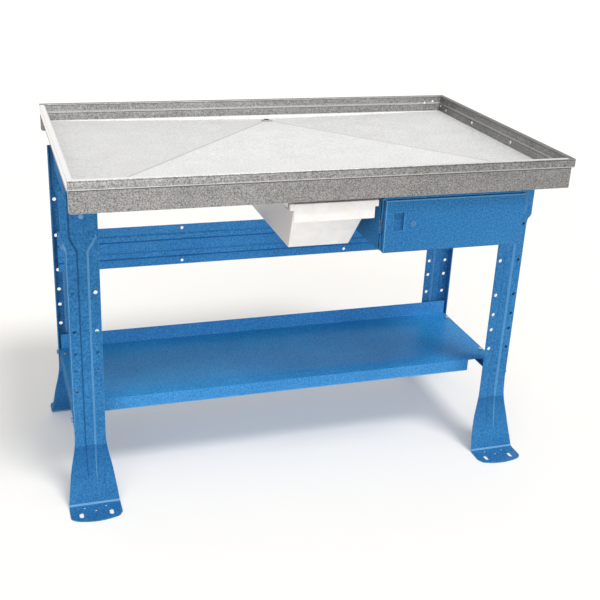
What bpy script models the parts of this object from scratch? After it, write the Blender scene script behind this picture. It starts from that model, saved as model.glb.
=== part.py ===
"""Stainless drain bench: a pitched stainless tray on four pressed steel legs, with a lower
shelf, a ribbed rear stringer, a slide-out drip pan under the drain and a locking tool drawer.

Units are metres, +Z is up, +X runs along the bench to the right and -Y faces the user.
The origin is on the floor, under the middle of the bench's outer box.
"""
import math

import bmesh
import bpy
from mathutils import Matrix, Vector

# Overall size
TRAY_WIDTH = 1.219
TRAY_DEPTH = 0.757
BENCH_HEIGHT = 0.899

# Clearances shared by neighbouring pieces
FIT_GAP = 0.0003
CUT_OVERRUN = 0.004

# Stainless tray
TRAY_SHEET = 0.0015
RIM_WIDTH = 0.013
RIM_LEDGE = 0.004
RIM_LEDGE_DROP = 0.023
RIM_CHAMFER = 0.0015
HEM_DROP = 0.022
TRAY_INNER_DEPTH = 0.044
FLOOR_MARGIN = 0.010
RIM_SEAT = 0.003
FLOOR_FALL = 0.008
DRAIN_X = 0.027
DRAIN_FROM_REAR_WALL = 0.034
SUMP_RADIUS = 0.020
SUMP_SIDES = 16

# Stainless apron behind the hem
SKIRT_SHEET = 0.0015
SKIRT_INSET = 0.0045
SKIRT_DROP = 0.075
SKIRT_SEAT_WIDTH = 0.030

# Screws through the tray's inner walls
WALL_SCREW_DROP = 0.031
WALL_SCREW_SPAN = 0.229
WALL_SCREW_SHIFT = 0.0235
WALL_SCREW_HEAD_RADIUS = 0.0042
WALL_SCREW_HEAD_HEIGHT = 0.0016
WALL_SCREW_SHANK_RADIUS = 0.0021
SCREW_SIDES = 8

# Drain fitting
DRAIN_TUBE_RADIUS = 0.0105
DRAIN_TUBE_BORE = 0.0085
DRAIN_FLANGE_RADIUS = 0.0165
DRAIN_FLANGE_THICKNESS = 0.0018
DRAIN_TAIL_HEIGHT = 0.029
DRAIN_SEAT_WIDTH = 0.0015
DRAIN_SEAT_DEPTH = 0.006
STRAINER_THICKNESS = 0.0015
STRAINER_HOLE_RADIUS = 0.0021
STRAINER_HOLE_CIRCLE = 0.0044
STRAINER_HOLES = 4
GASKET_THICKNESS = 0.002
LOCKNUT_RADIUS = 0.0172
LOCKNUT_HEIGHT = 0.006
DRAIN_SIDES = 20
DRAIN_CLEARANCE = 0.0006

# Legs
LEG_SHEET = 0.0027
LEG_END_SETBACK = 0.0425
LEG_FRONT_SETBACK = 0.1715
LEG_REAR_SETBACK = 0.1605
LEG_HALF_WIDTH = 0.0385
LEG_FLANGE = 0.026
LEG_TOP_GAP = 0.0003
WING_ANGLE = math.radians(3)
WING_REACH = 0.0095
FLANGE_ANGLE = math.radians(88)
WING_DROP = 0.1147
WING_END_DROP = 0.1557
GROOVE_HALF_WIDTH = 0.0105
GROOVE_SLOPE = 0.0035
GROOVE_DEPTH = 0.005
GROOVE_MOUTH_HALF_WIDTH = 0.031
GROOVE_MOUTH_OUTER = 0.027
GROOVE_MOUTH_TOP_DROP = 0.1057
GROOVE_MOUTH_STEP = 0.007
GROOVE_MOUTH_LENGTH = 0.035
FLARE_TOP = 0.190
FLANGE_FADE_TOP = 0.232
FLANGE_FADE_END = 0.002
FOOT_HALF_WIDTH = 0.0645
FOOT_REACH = 0.039
FOOT_PLATE_LENGTH = 0.056
FOOT_PLATE_BULGE = 0.015
FOOT_CORNER_RADIUS = 0.012
# Hole heights as shares of the leg's height
LEG_HOLE_SHARES = (0.8195, 0.6944, 0.5718, 0.5014, 0.4456, 0.3751)
LEG_HOLE_OFFSET = 0.027
LEG_HOLE_RADIUS = 0.0050
ANCHOR_SLOT_OFFSET = 0.0375
ANCHOR_SLOT_REACH = 0.080
ANCHOR_SLOT_LENGTH = 0.011
ANCHOR_SLOT_RADIUS = 0.0055
FOOT_HOLE_RADIUS = 0.0033
FOOT_HOLE_REACH = 0.066
FOOT_SIDE_HOLE_REACH = 0.050
FOOT_SIDE_HOLE_OFFSET = 0.027
HOLE_SIDES = 12
# Share of the flare's height, its width growth and its forward reach at each level
FLARE_SHARES = ((1.00, 0.00, 0.00), (0.72, 0.30, 0.10), (0.42, 0.60, 0.36), (0.16, 0.86, 0.74))

# Rails between front and rear legs
RAIL_SHEET = 0.0022
TOP_RAIL_HEIGHT = 0.050
TOP_RAIL_FLANGE = 0.034
TOP_RAIL_INSET = 0.010
TOP_TAB_HEIGHT = 0.078
TOP_TAB_WIDTH = 0.056
TOP_TAB_BOLT_DROP = 0.0617
LOWER_RAIL_HEIGHT = 0.041
LOWER_RAIL_FLANGE = 0.034
LOWER_RAIL_RETURN = 0.016
LOWER_RAIL_BOLT_REACH = 0.014
LOWER_RAIL_BOLT_DROP = 0.021

# Lower shelf
SHELF_SHEET = 0.0016
SHELF_HEIGHT = 0.240
SHELF_FRONT_SETBACK = 0.076
SHELF_REAR_SETBACK = 0.020
SHELF_END_GAP = 0.005
SHELF_UPSTAND = 0.041
SHELF_LIP = 0.035
SHELF_LIP_RETURN = 0.012
SHELF_LIP_LEG_GAP = 0.0060
SHELF_BOLT_INSET = 0.0145
SHELF_BOLT_REAR = 0.0454
SHELF_BOLT_FRONT = 0.0527

# Ribbed rear stringer
STRINGER_SHEET = 0.0020
STRINGER_END_OVERLAP = 0.026
STRINGER_HEIGHT_SHARE = 0.6386
STRINGER_HEIGHT = 0.119
STRINGER_RIB_OFFSET = 0.025
STRINGER_RIB_HALF_WIDTH = 0.0105
STRINGER_RIB_SLOPE = 0.003
STRINGER_RIB_DEPTH = 0.005
STRINGER_BOLT_DROP = 0.049
STRINGER_HOLE_SHARE = 0.4165
STRINGER_HOLE_RADIUS = 0.0045

# Hat channels under the tray floor
STIFFENER_SHEET = 0.0020
STIFFENER_OFFSET = 0.150
STIFFENER_HALF_TOP = 0.020
STIFFENER_BRIM = 0.016
STIFFENER_END_GAP = 0.004

# Drip pan and its runners
PAN_SHEET = 0.0015
PAN_FRONT_SETBACK = 0.0265
PAN_REAR_SETBACK = 0.0105
PAN_DROP = 0.012
PAN_DEPTH = 0.142
PAN_FLANGE_HALF_WIDTH = 0.1095
PAN_FLANGE_DROP = 0.0155
PAN_TOP_HALF_WIDTH = 0.0965
PAN_BOTTOM_HALF_WIDTH = 0.078
PAN_FRONT_SLOPE = 0.090
PAN_REAR_SLOPE = 0.012
PAN_FRONT_LEDGE = 0.012
PAN_LIP_DROP = 0.044
PAN_LIP_HALF_WIDTH = 0.100
RUNNER_SHEET = 0.0015
RUNNER_LIP = 0.0115
RUNNER_TOP_FLANGE = 0.018
RUNNER_FRONT_SETBACK = 0.014
RUNNER_REAR_SETBACK = 0.028
RUNNER_SIDE_GAP = 0.001
RUNNER_BOLT_INSET = 0.010

# Drawer and its housing
DRAWER_FRONT_SETBACK = 0.0265
DRAWER_FRONT_THICKNESS = 0.018
RUNNER_DRAWER_GAP = 0.017
DRAWER_LEG_GAP = 0.0255
DRAWER_FRONT_DROP = 0.148
DRAWER_FRONT_HEIGHT = 0.133
DRAWER_FRONT_SHEET = 0.0015
DRAWER_HEM = 0.010
DRAWER_EDGE_BEVEL = 0.002
HOUSING_SHEET = 0.0012
HOUSING_OVERHANG = 0.007
HOUSING_FRONT_GAP = 0.0015
HOUSING_DEPTH = 0.470
HOUSING_BOTTOM_RISE = 0.004
HOUSING_FLANGE = 0.018
HOUSING_RAIL_GAP = 0.0015
HOUSING_RAIL_STANDOFF = 0.0065
SLIDE_DEPTH = 0.0124
SLIDE_HEIGHT = 0.035
SLIDE_SHEET = 0.0014
SLIDE_LIP = 0.006
SLIDE_CENTRE_RISE = 0.058
SLIDE_BAR_CLEARANCE = 0.0008
BOX_SHEET = 0.0012
BOX_DEPTH = 0.440
BOX_HEIGHT = 0.098
BOX_FLOOR_RISE = 0.004
PULL_LEFT = 0.021
PULL_WIDTH = 0.028
PULL_HEIGHT = 0.046
PULL_RISE = 0.056
PULL_CUP_DEPTH = 0.011
PULL_FLANGE = 0.003
PULL_SHEET = 0.0012
LOCK_X_FROM_LEFT = 0.072
LOCK_RISE = 0.072
LOCK_RADIUS = 0.0062
LOCK_HEAD_RADIUS = 0.0078
LOCK_HEAD_THICKNESS = 0.0018
LOCK_KEYWAY_WIDTH = 0.0012
LOCK_KEYWAY_HEIGHT = 0.0060
LOCK_KEYWAY_DEPTH = 0.0012
LOCK_STUB_RADIUS = 0.0034
LOCK_STUB_LENGTH = 0.0030
CAM_LENGTH = 0.069
CAM_WIDTH = 0.012
CAM_THICKNESS = 0.0016
CAM_GAP = 0.0006
LOCK_SIDES = 16

# Hex bolts
BOLT_SHANK_RADIUS = 0.0030
BOLT_HOLE_RADIUS = 0.0034
BOLT_HEAD_RADIUS = 0.0064
BOLT_HEAD_HEIGHT = 0.0042
BOLT_TAIL = 0.0016
BOLT_SIDES = 6
BOLT_HOLE_SIDES = 8

# Places worked out from the sizes above
HALF_WIDTH = TRAY_WIDTH / 2
HALF_DEPTH = TRAY_DEPTH / 2
FLOOR_EDGE_HEIGHT = BENCH_HEIGHT - TRAY_INNER_DEPTH
DRAIN_HEIGHT = FLOOR_EDGE_HEIGHT - FLOOR_FALL
WALL_INSET = RIM_WIDTH + RIM_LEDGE
DRAIN_Y = HALF_DEPTH - WALL_INSET - DRAIN_FROM_REAR_WALL
SKIRT_BOTTOM = BENCH_HEIGHT - SKIRT_DROP
LEG_X = HALF_WIDTH - LEG_END_SETBACK
FRONT_FACE_Y = LEG_FRONT_SETBACK - HALF_DEPTH
REAR_FACE_Y = HALF_DEPTH - LEG_REAR_SETBACK
LEG_TOP = SKIRT_BOTTOM - LEG_TOP_GAP
WING_BOTTOM = LEG_TOP - WING_DROP
WING_END = LEG_TOP - WING_END_DROP
GROOVE_MOUTH_TOP = LEG_TOP - GROOVE_MOUTH_TOP_DROP
GROOVE_MOUTH_BOTTOM = GROOVE_MOUTH_TOP - GROOVE_MOUTH_STEP
GROOVE_MOUTH_END = GROOVE_MOUTH_BOTTOM - GROOVE_MOUTH_LENGTH
TOP_TAB_BOLT_HEIGHT = LEG_TOP - TOP_TAB_BOLT_DROP
SHELF_FRONT_Y = FRONT_FACE_Y + SHELF_FRONT_SETBACK
SHELF_REAR_Y = REAR_FACE_Y - SHELF_REAR_SETBACK
SHELF_LIP_HALF_LENGTH = LEG_X - LEG_HALF_WIDTH - SHELF_LIP_LEG_GAP
STRINGER_HALF_LENGTH = LEG_X + STRINGER_END_OVERLAP
STRINGER_CENTRE_HEIGHT = STRINGER_HEIGHT_SHARE * LEG_TOP
FLANGE_INNER_X = LEG_X + LEG_HALF_WIDTH - LEG_SHEET
FLANGE_LEAN = LEG_FLANGE * math.cos(FLANGE_ANGLE)
STIFFENER_BASE = SKIRT_BOTTOM + SKIRT_SHEET + FIT_GAP
HANGER_TOP = STIFFENER_BASE - FIT_GAP
PAN_FRONT_Y = PAN_FRONT_SETBACK - HALF_DEPTH
PAN_REAR_Y = HALF_DEPTH - PAN_REAR_SETBACK
PAN_TOP_HEIGHT = SKIRT_BOTTOM - PAN_DROP
PAN_BOTTOM_HEIGHT = PAN_TOP_HEIGHT - PAN_DEPTH
RUNNER_FRONT_Y = PAN_FRONT_Y + RUNNER_FRONT_SETBACK
RUNNER_REAR_Y = PAN_REAR_Y - RUNNER_REAR_SETBACK
RUNNER_WEB_X = PAN_FLANGE_HALF_WIDTH + RUNNER_SIDE_GAP
DRAWER_FRONT_Y = DRAWER_FRONT_SETBACK - HALF_DEPTH
DRAWER_FRONT_LEFT = RUNNER_WEB_X + RUNNER_SHEET + RUNNER_DRAWER_GAP
DRAWER_FRONT_WIDTH = LEG_X - LEG_HALF_WIDTH - DRAWER_LEG_GAP - DRAWER_FRONT_LEFT
DRAWER_FRONT_BOTTOM = SKIRT_BOTTOM - DRAWER_FRONT_DROP
DRAWER_FRONT_TOP = DRAWER_FRONT_BOTTOM + DRAWER_FRONT_HEIGHT
DRAWER_FRONT_BACK_Y = DRAWER_FRONT_Y + DRAWER_FRONT_THICKNESS
HOUSING_LEFT = DRAWER_FRONT_LEFT - HOUSING_OVERHANG
HOUSING_RIGHT = DRAWER_FRONT_LEFT + DRAWER_FRONT_WIDTH + HOUSING_OVERHANG
HOUSING_FRONT_Y = DRAWER_FRONT_BACK_Y + HOUSING_FRONT_GAP
HOUSING_BACK_Y = HOUSING_FRONT_Y + HOUSING_DEPTH
HOUSING_BOTTOM = DRAWER_FRONT_BOTTOM + HOUSING_BOTTOM_RISE
SLIDE_CENTRE_HEIGHT = HOUSING_BOTTOM + SLIDE_CENTRE_RISE
BOX_SIDE_GAP = HOUSING_SHEET + FIT_GAP + SLIDE_DEPTH + FIT_GAP
LOCK_X = DRAWER_FRONT_LEFT + LOCK_X_FROM_LEFT
LOCK_HEIGHT = DRAWER_FRONT_BOTTOM + LOCK_RISE

# Colours as photographed: base colour, roughness, metallic
BLUE = ((0.050, 0.215, 0.560), 0.38, 0.0)
STAINLESS = ((0.560, 0.545, 0.520), 0.34, 0.9)
BRIGHT_STAINLESS = ((0.800, 0.800, 0.790), 0.38, 0.8)
GALVANISED = ((0.780, 0.760, 0.720), 0.45, 0.3)
ZINC = ((0.700, 0.700, 0.710), 0.35, 0.9)
RUBBER = ((0.030, 0.030, 0.032), 0.75, 0.0)


def clear_scene():
    for old in list(bpy.data.objects):
        bpy.data.objects.remove(old, do_unlink=True)


def finish_for(name, look):
    """One Principled material for the named piece."""
    colour, roughness, metallic = look
    material = bpy.data.materials.new(name + "_finish")
    material.use_nodes = True
    shader = material.node_tree.nodes["Principled BSDF"]
    shader.inputs["Base Color"].default_value = (*colour, 1.0)
    shader.inputs["Roughness"].default_value = roughness
    shader.inputs["Metallic"].default_value = metallic
    return material


def add_object(name, mesh_data, look):
    """Turn a bmesh into a named object with outward faces."""
    bmesh.ops.recalc_face_normals(mesh_data, faces=mesh_data.faces)
    mesh = bpy.data.meshes.new(name)
    mesh_data.to_mesh(mesh)
    mesh_data.free()
    piece = bpy.data.objects.new(name, mesh)
    piece.data.materials.append(finish_for(name, look))
    bpy.context.collection.objects.link(piece)
    return piece


def add_ring(mesh_data, corners):
    return [mesh_data.verts.new(corner) for corner in corners]


def bridge(mesh_data, ring_a, ring_b, closed=True):
    """Quads between two rings with the same number of points."""
    count = len(ring_a)
    for i in range(count if closed else count - 1):
        j = (i + 1) % count
        mesh_data.faces.new((ring_a[i], ring_a[j], ring_b[j], ring_b[i]))


def cap(mesh_data, ring):
    mesh_data.faces.new(ring)


def to_axis(axis, along, p, q):
    """A point from a distance along an axis and two cross coordinates."""
    if axis == "X":
        return (along, p, q)
    if axis == "Y":
        return (p, along, q)
    return (p, q, along)


def add_extrusion(mesh_data, outline, axis, start, end):
    """Extrude a closed 2D outline: (y, z) along X, (x, z) along Y or (x, y) along Z."""
    first = add_ring(mesh_data, [to_axis(axis, start, p, q) for p, q in outline])
    last = add_ring(mesh_data, [to_axis(axis, end, p, q) for p, q in outline])
    bridge(mesh_data, first, last)
    cap(mesh_data, first)
    cap(mesh_data, last)


def extruded(name, outline, axis, start, end, look):
    mesh_data = bmesh.new()
    add_extrusion(mesh_data, outline, axis, start, end)
    return add_object(name, mesh_data, look)


def add_box(mesh_data, low, high):
    outline = [(low[0], low[1]), (high[0], low[1]), (high[0], high[1]), (low[0], high[1])]
    add_extrusion(mesh_data, outline, "Z", low[2], high[2])


def offset_path(path, thickness):
    """The path moved to its right by the sheet's thickness, mitred at each bend."""
    moved = []
    for i, point in enumerate(path):
        here = Vector(point)
        before = (here - Vector(path[i - 1])).normalized() if i > 0 else None
        after = (Vector(path[i + 1]) - here).normalized() if i + 1 < len(path) else None
        sides = [Vector((d.y, -d.x)) for d in (before, after) if d is not None]
        middle = sum(sides, Vector((0, 0))).normalized()
        moved.append(tuple(here + middle * (thickness / middle.dot(sides[0]))))
    return moved


def strip(path, thickness):
    """Closed outline of a bent sheet whose left side follows the path."""
    return list(path) + offset_path(path, thickness)[::-1]


def circle_points(radius, sides, turn=0.0):
    angles = [turn + 2 * math.pi * i / sides for i in range(sides)]
    return [(radius * math.cos(a), radius * math.sin(a)) for a in angles]


def add_turned(mesh_data, profile, sides, centre, axis="Z", turn=0.0):
    """Turn a closed (radius, distance) profile about an axis through centre."""
    rings = []
    for radius, along in profile:
        ring = []
        for p, q in circle_points(radius, sides, turn):
            local = to_axis(axis, along, p, q)
            ring.append(tuple(c + v for c, v in zip(centre, local)))
        rings.append(add_ring(mesh_data, ring))
    for i, ring in enumerate(rings):
        bridge(mesh_data, ring, rings[(i + 1) % len(rings)])


def add_stack(mesh_data, steps, sides, centre, axis, turn=0.0):
    """A solid of coaxial steps, given as (radius, distance) from one end to the other."""
    rings = []
    for radius, along in steps:
        ring = []
        for p, q in circle_points(radius, sides, turn):
            local = to_axis(axis, along, p, q)
            ring.append(tuple(c + v for c, v in zip(centre, local)))
        rings.append(add_ring(mesh_data, ring))
    for ring, following in zip(rings, rings[1:]):
        bridge(mesh_data, ring, following)
    cap(mesh_data, rings[0])
    cap(mesh_data, rings[-1])


def add_bolt(mesh_data, seat, axis, direction, grip):
    """Hex bolt: its head seats at `seat`, its shank runs `grip` deep and ends in a nut."""
    head = -direction * (BOLT_HEAD_HEIGHT + FIT_GAP)
    under_head = -direction * FIT_GAP
    nut_face = direction * (grip + FIT_GAP)
    nut_back = nut_face + direction * BOLT_HEAD_HEIGHT
    steps = [
        (BOLT_HEAD_RADIUS, head), (BOLT_HEAD_RADIUS, under_head),
        (BOLT_SHANK_RADIUS, under_head), (BOLT_SHANK_RADIUS, nut_face),
        (BOLT_HEAD_RADIUS, nut_face), (BOLT_HEAD_RADIUS, nut_back),
        (BOLT_SHANK_RADIUS, nut_back), (BOLT_SHANK_RADIUS, nut_back + direction * BOLT_TAIL),
    ]
    add_stack(mesh_data, steps, BOLT_SIDES, seat, axis)


def make_bolts(name, bolts):
    """A numbered object for each bolt, given as (seat, axis, direction, grip)."""
    for number, (seat, axis, direction, grip) in enumerate(bolts, 1):
        mesh_data = bmesh.new()
        add_bolt(mesh_data, seat, axis, direction, grip)
        add_object(f"{name}_{number}", mesh_data, ZINC)


def hide_as_cutter(cutter):
    cutter.hide_render = True
    cutter.display_type = "WIRE"


def cut(piece, name, mesh_data):
    """Subtract the bodies in a bmesh from a piece."""
    cutter = add_object(name, mesh_data, ZINC)
    hide_as_cutter(cutter)
    boolean = piece.modifiers.new(name, "BOOLEAN")
    boolean.operation = "DIFFERENCE"
    boolean.solver = "EXACT"
    boolean.object = cutter


def cut_round_holes(piece, name, holes, sides):
    """Cut round holes: each is (centre, axis, half length, radius)."""
    mesh_data = bmesh.new()
    for centre, axis, half, radius in holes:
        add_stack(mesh_data, [(radius, -half), (radius, half)], sides, centre, axis,
                  turn=math.pi / sides)
    cut(piece, name, mesh_data)


def bolt_holes(bolts, reach):
    """Clearance holes for bolts, cut `reach` to each side of the seat."""
    return [(seat, axis, reach, BOLT_HOLE_RADIUS) for seat, axis, _, _ in bolts]


def rectangle_ring(inset, height):
    """The four corners of the tray's outline, moved in by `inset`, at a height."""
    x = HALF_WIDTH - inset
    y = HALF_DEPTH - inset
    return [(-x, -y, height), (x, -y, height), (x, y, height), (-x, y, height)]


def drain_ring(mesh_data, radius, height):
    """A ring about the drain that starts at its front left, like the tray's corners."""
    points = circle_points(radius, SUMP_SIDES, turn=-3 * math.pi / 4)
    return add_ring(mesh_data, [(DRAIN_X + p, DRAIN_Y + q, height) for p, q in points])


def fan_floor(mesh_data, edge_ring, sump_ring):
    """Four pitched facets from the floor's edge down to the sump."""
    quarter = SUMP_SIDES // 4
    for side in range(4):
        first = edge_ring[side]
        second = edge_ring[(side + 1) % 4]
        arc = [sump_ring[(side * quarter + k) % SUMP_SIDES] for k in range(quarter + 1)]
        half = quarter // 2
        for k in range(quarter):
            corner = first if k < half else second
            mesh_data.faces.new((corner, arc[k + 1], arc[k]))
        mesh_data.faces.new((first, second, arc[half]))


def make_tray_floor():
    """Floor sheet with a flat margin, pitched to the drain; its edge lies on the rim's seat."""
    margin = WALL_INSET + FLOOR_MARGIN
    mesh_data = bmesh.new()
    edges = []
    holes = []
    for drop in (0, TRAY_SHEET):
        edge = add_ring(mesh_data, rectangle_ring(WALL_INSET + FIT_GAP, FLOOR_EDGE_HEIGHT - drop))
        pitch = add_ring(mesh_data, rectangle_ring(margin, FLOOR_EDGE_HEIGHT - drop))
        sump = drain_ring(mesh_data, SUMP_RADIUS, DRAIN_HEIGHT - drop)
        hole = drain_ring(mesh_data, DRAIN_TUBE_RADIUS + DRAIN_CLEARANCE, DRAIN_HEIGHT - drop)
        bridge(mesh_data, edge, pitch)
        fan_floor(mesh_data, pitch, sump)
        bridge(mesh_data, sump, hole)
        edges.append(edge)
        holes.append(hole)
    bridge(mesh_data, *edges)
    bridge(mesh_data, *holes)
    return add_object("tray_floor", mesh_data, BRIGHT_STAINLESS)


def make_tray_rim():
    """Inner walls with a seat for the floor, a ledge, the rolled rim and the outer hem."""
    upper = BENCH_HEIGHT
    ledge = upper - RIM_LEDGE_DROP
    seat = FLOOR_EDGE_HEIGHT - TRAY_SHEET - FIT_GAP
    path = [
        (WALL_INSET + RIM_SEAT, seat),
        (WALL_INSET, seat),
        (WALL_INSET, ledge),
        (RIM_WIDTH, ledge),
        (RIM_WIDTH, upper - RIM_CHAMFER),
        (RIM_WIDTH - RIM_CHAMFER, upper),
        (RIM_CHAMFER, upper),
        (0, upper - RIM_CHAMFER),
        (0, upper - HEM_DROP),
    ]
    hidden = offset_path(path[::-1], TRAY_SHEET)[::-1]
    mesh_data = bmesh.new()
    shown_rings = [add_ring(mesh_data, rectangle_ring(d, z)) for d, z in path]
    hidden_rings = [add_ring(mesh_data, rectangle_ring(d, z)) for d, z in hidden]
    for rings in (shown_rings, hidden_rings):
        for ring, following in zip(rings, rings[1:]):
            bridge(mesh_data, ring, following)
    bridge(mesh_data, shown_rings[0], hidden_rings[0])
    bridge(mesh_data, shown_rings[-1], hidden_rings[-1])
    rim = add_object("tray_rim", mesh_data, STAINLESS)
    holes = [(seat, axis, WALL_INSET - SKIRT_INSET, WALL_SCREW_SHANK_RADIUS + FIT_GAP)
             for seat, axis, _ in wall_screws()]
    cut_round_holes(rim, "rim_cutter", holes, SCREW_SIDES)
    return rim


def wall_screws():
    """Seats of the screws through the tray's end walls: (seat, axis, outward sign)."""
    height = BENCH_HEIGHT - WALL_SCREW_DROP
    side_x = HALF_WIDTH - WALL_INSET
    screws = []
    for side in (-1, 1):
        for end in (-1, 1):
            y = WALL_SCREW_SHIFT + end * WALL_SCREW_SPAN / 2
            screws.append(((side * side_x, y, height), "X", side))
    return screws


def make_wall_screws():
    """Pan-head screws that tie the tray's end walls to the apron."""
    reach = WALL_INSET - SKIRT_INSET
    for number, (seat, axis, outward) in enumerate(wall_screws(), 1):
        steps = [
            (WALL_SCREW_HEAD_RADIUS * 0.7, -outward * (FIT_GAP + WALL_SCREW_HEAD_HEIGHT)),
            (WALL_SCREW_HEAD_RADIUS, -outward * (FIT_GAP + WALL_SCREW_HEAD_HEIGHT / 2)),
            (WALL_SCREW_HEAD_RADIUS, -outward * FIT_GAP),
            (WALL_SCREW_SHANK_RADIUS, -outward * FIT_GAP),
            (WALL_SCREW_SHANK_RADIUS, outward * reach),
        ]
        mesh_data = bmesh.new()
        add_stack(mesh_data, steps, SCREW_SIDES, seat, axis)
        add_object(f"tray_screw_{number}", mesh_data, ZINC)


def make_apron():
    """Welded frame of panels behind the hem, with an inward seat that rests on the top rails."""
    top = BENCH_HEIGHT - TRAY_SHEET - FIT_GAP
    inner = SKIRT_INSET + SKIRT_SHEET
    seat_top = SKIRT_BOTTOM + SKIRT_SHEET
    profile = [
        (SKIRT_INSET, top), (SKIRT_INSET, SKIRT_BOTTOM),
        (SKIRT_INSET + SKIRT_SEAT_WIDTH, SKIRT_BOTTOM), (SKIRT_INSET + SKIRT_SEAT_WIDTH, seat_top),
        (inner, seat_top), (inner, top),
    ]
    mesh_data = bmesh.new()
    rings = [add_ring(mesh_data, rectangle_ring(inset, height)) for inset, height in profile]
    for i, ring in enumerate(rings):
        bridge(mesh_data, ring, rings[(i + 1) % len(rings)])
    apron = add_object("tray_apron", mesh_data, STAINLESS)
    holes = []
    for seat, axis, outward in wall_screws():
        place = (outward * (HALF_WIDTH - SKIRT_INSET), seat[1], seat[2])
        holes.append((place, axis, CUT_OVERRUN, WALL_SCREW_SHANK_RADIUS + FIT_GAP))
    cut_round_holes(apron, "apron_cutter", holes, SCREW_SIDES)
    return apron


def make_drain():
    """Flanged drain tube with its strainer above and a gasket and locknut below."""
    centre = (DRAIN_X, DRAIN_Y, DRAIN_HEIGHT)
    flange_top = FIT_GAP + DRAIN_FLANGE_THICKNESS
    seat = flange_top - DRAIN_SEAT_DEPTH
    tube = [
        (DRAIN_TUBE_BORE, flange_top), (DRAIN_FLANGE_RADIUS, flange_top),
        (DRAIN_FLANGE_RADIUS, FIT_GAP), (DRAIN_TUBE_RADIUS, FIT_GAP),
        (DRAIN_TUBE_RADIUS, -DRAIN_TAIL_HEIGHT), (DRAIN_TUBE_BORE - DRAIN_SEAT_WIDTH, -DRAIN_TAIL_HEIGHT),
        (DRAIN_TUBE_BORE - DRAIN_SEAT_WIDTH, seat), (DRAIN_TUBE_BORE, seat),
    ]
    mesh_data = bmesh.new()
    add_turned(mesh_data, tube, DRAIN_SIDES, centre)
    add_object("drain_tube", mesh_data, STAINLESS)

    mesh_data = bmesh.new()
    low = seat + FIT_GAP
    radius = DRAIN_TUBE_BORE - FIT_GAP
    add_stack(mesh_data, [(radius, low), (radius, low + STRAINER_THICKNESS)], DRAIN_SIDES,
              centre, "Z")
    strainer = add_object("drain_strainer", mesh_data, STAINLESS)
    holes = []
    for p, q in circle_points(STRAINER_HOLE_CIRCLE, STRAINER_HOLES):
        place = (centre[0] + p, centre[1] + q, centre[2] + low)
        holes.append((place, "Z", CUT_OVERRUN, STRAINER_HOLE_RADIUS))
    cut_round_holes(strainer, "strainer_cutter", holes, SCREW_SIDES)

    inner = DRAIN_TUBE_RADIUS + FIT_GAP
    gasket_top = -TRAY_SHEET - FIT_GAP
    gasket_low = gasket_top - GASKET_THICKNESS
    mesh_data = bmesh.new()
    add_turned(mesh_data, [(inner, gasket_top), (DRAIN_FLANGE_RADIUS, gasket_top),
                           (DRAIN_FLANGE_RADIUS, gasket_low), (inner, gasket_low)],
               DRAIN_SIDES, centre)
    add_object("drain_gasket", mesh_data, RUBBER)

    nut_top = gasket_low - FIT_GAP
    nut_low = nut_top - LOCKNUT_HEIGHT
    mesh_data = bmesh.new()
    add_stack(mesh_data, [(LOCKNUT_RADIUS, nut_top), (LOCKNUT_RADIUS, nut_low)], BOLT_SIDES,
              centre, "Z")
    nut = add_object("drain_locknut", mesh_data, ZINC)
    bore = [((centre[0], centre[1], centre[2] + nut_low), "Z", LOCKNUT_HEIGHT + CUT_OVERRUN,
             inner)]
    cut_round_holes(nut, "locknut_cutter", bore, DRAIN_SIDES)


def mouth_widths(height):
    """Half width of the groove on the inner and the outer side at one height."""
    if height > GROOVE_MOUTH_BOTTOM:
        return GROOVE_MOUTH_HALF_WIDTH, GROOVE_MOUTH_OUTER
    if height <= GROOVE_MOUTH_END:
        return GROOVE_HALF_WIDTH, GROOVE_HALF_WIDTH
    share = (height - GROOVE_MOUTH_END) / (GROOVE_MOUTH_BOTTOM - GROOVE_MOUTH_END)
    return (GROOVE_HALF_WIDTH + share * (GROOVE_MOUTH_HALF_WIDTH - GROOVE_HALF_WIDTH),
            GROOVE_HALF_WIDTH + share * (GROOVE_MOUTH_OUTER - GROOVE_HALF_WIDTH))


def flange_at(height, winged):
    """Length and angle of the outer flange at one height; a wing is unfolded flat."""
    if height <= FLARE_TOP:
        return FLANGE_FADE_END, FLANGE_ANGLE
    if height < FLANGE_FADE_TOP:
        share = (height - FLARE_TOP) / (FLANGE_FADE_TOP - FLARE_TOP)
        return FLANGE_FADE_END + share * (LEG_FLANGE - FLANGE_FADE_END), FLANGE_ANGLE
    if not winged or height <= WING_END:
        return LEG_FLANGE, FLANGE_ANGLE
    if height >= WING_BOTTOM:
        return WING_REACH, WING_ANGLE
    share = (height - WING_END) / (WING_BOTTOM - WING_END)
    return (LEG_FLANGE + share * (WING_REACH - LEG_FLANGE),
            FLANGE_ANGLE + share * (WING_ANGLE - FLANGE_ANGLE))


def leg_row(height, half_width, reach, groove_share, flat, winged):
    """One row of the leg's outer surface as (across, forward, up) from the inner edge out."""
    inner, outer = mouth_widths(height)
    if height < FLARE_TOP:
        inner, outer = inner * groove_share, outer * groove_share
    flange, angle = flange_at(height, winged)
    depth = GROOVE_DEPTH * groove_share
    band = -GROOVE_DEPTH if flat else 0
    slope = GROOVE_SLOPE
    tip_out = flange * math.cos(angle)
    tip_back = flange * math.sin(angle)
    return [
        (-half_width, reach + band, height),
        (-inner - slope, reach + band, height),
        (-inner, reach - depth, height),
        (outer, reach - depth, height),
        (outer + slope, reach, height),
        (half_width, reach, height),
        (half_width + tip_out, reach - tip_back, height),
    ]


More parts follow.
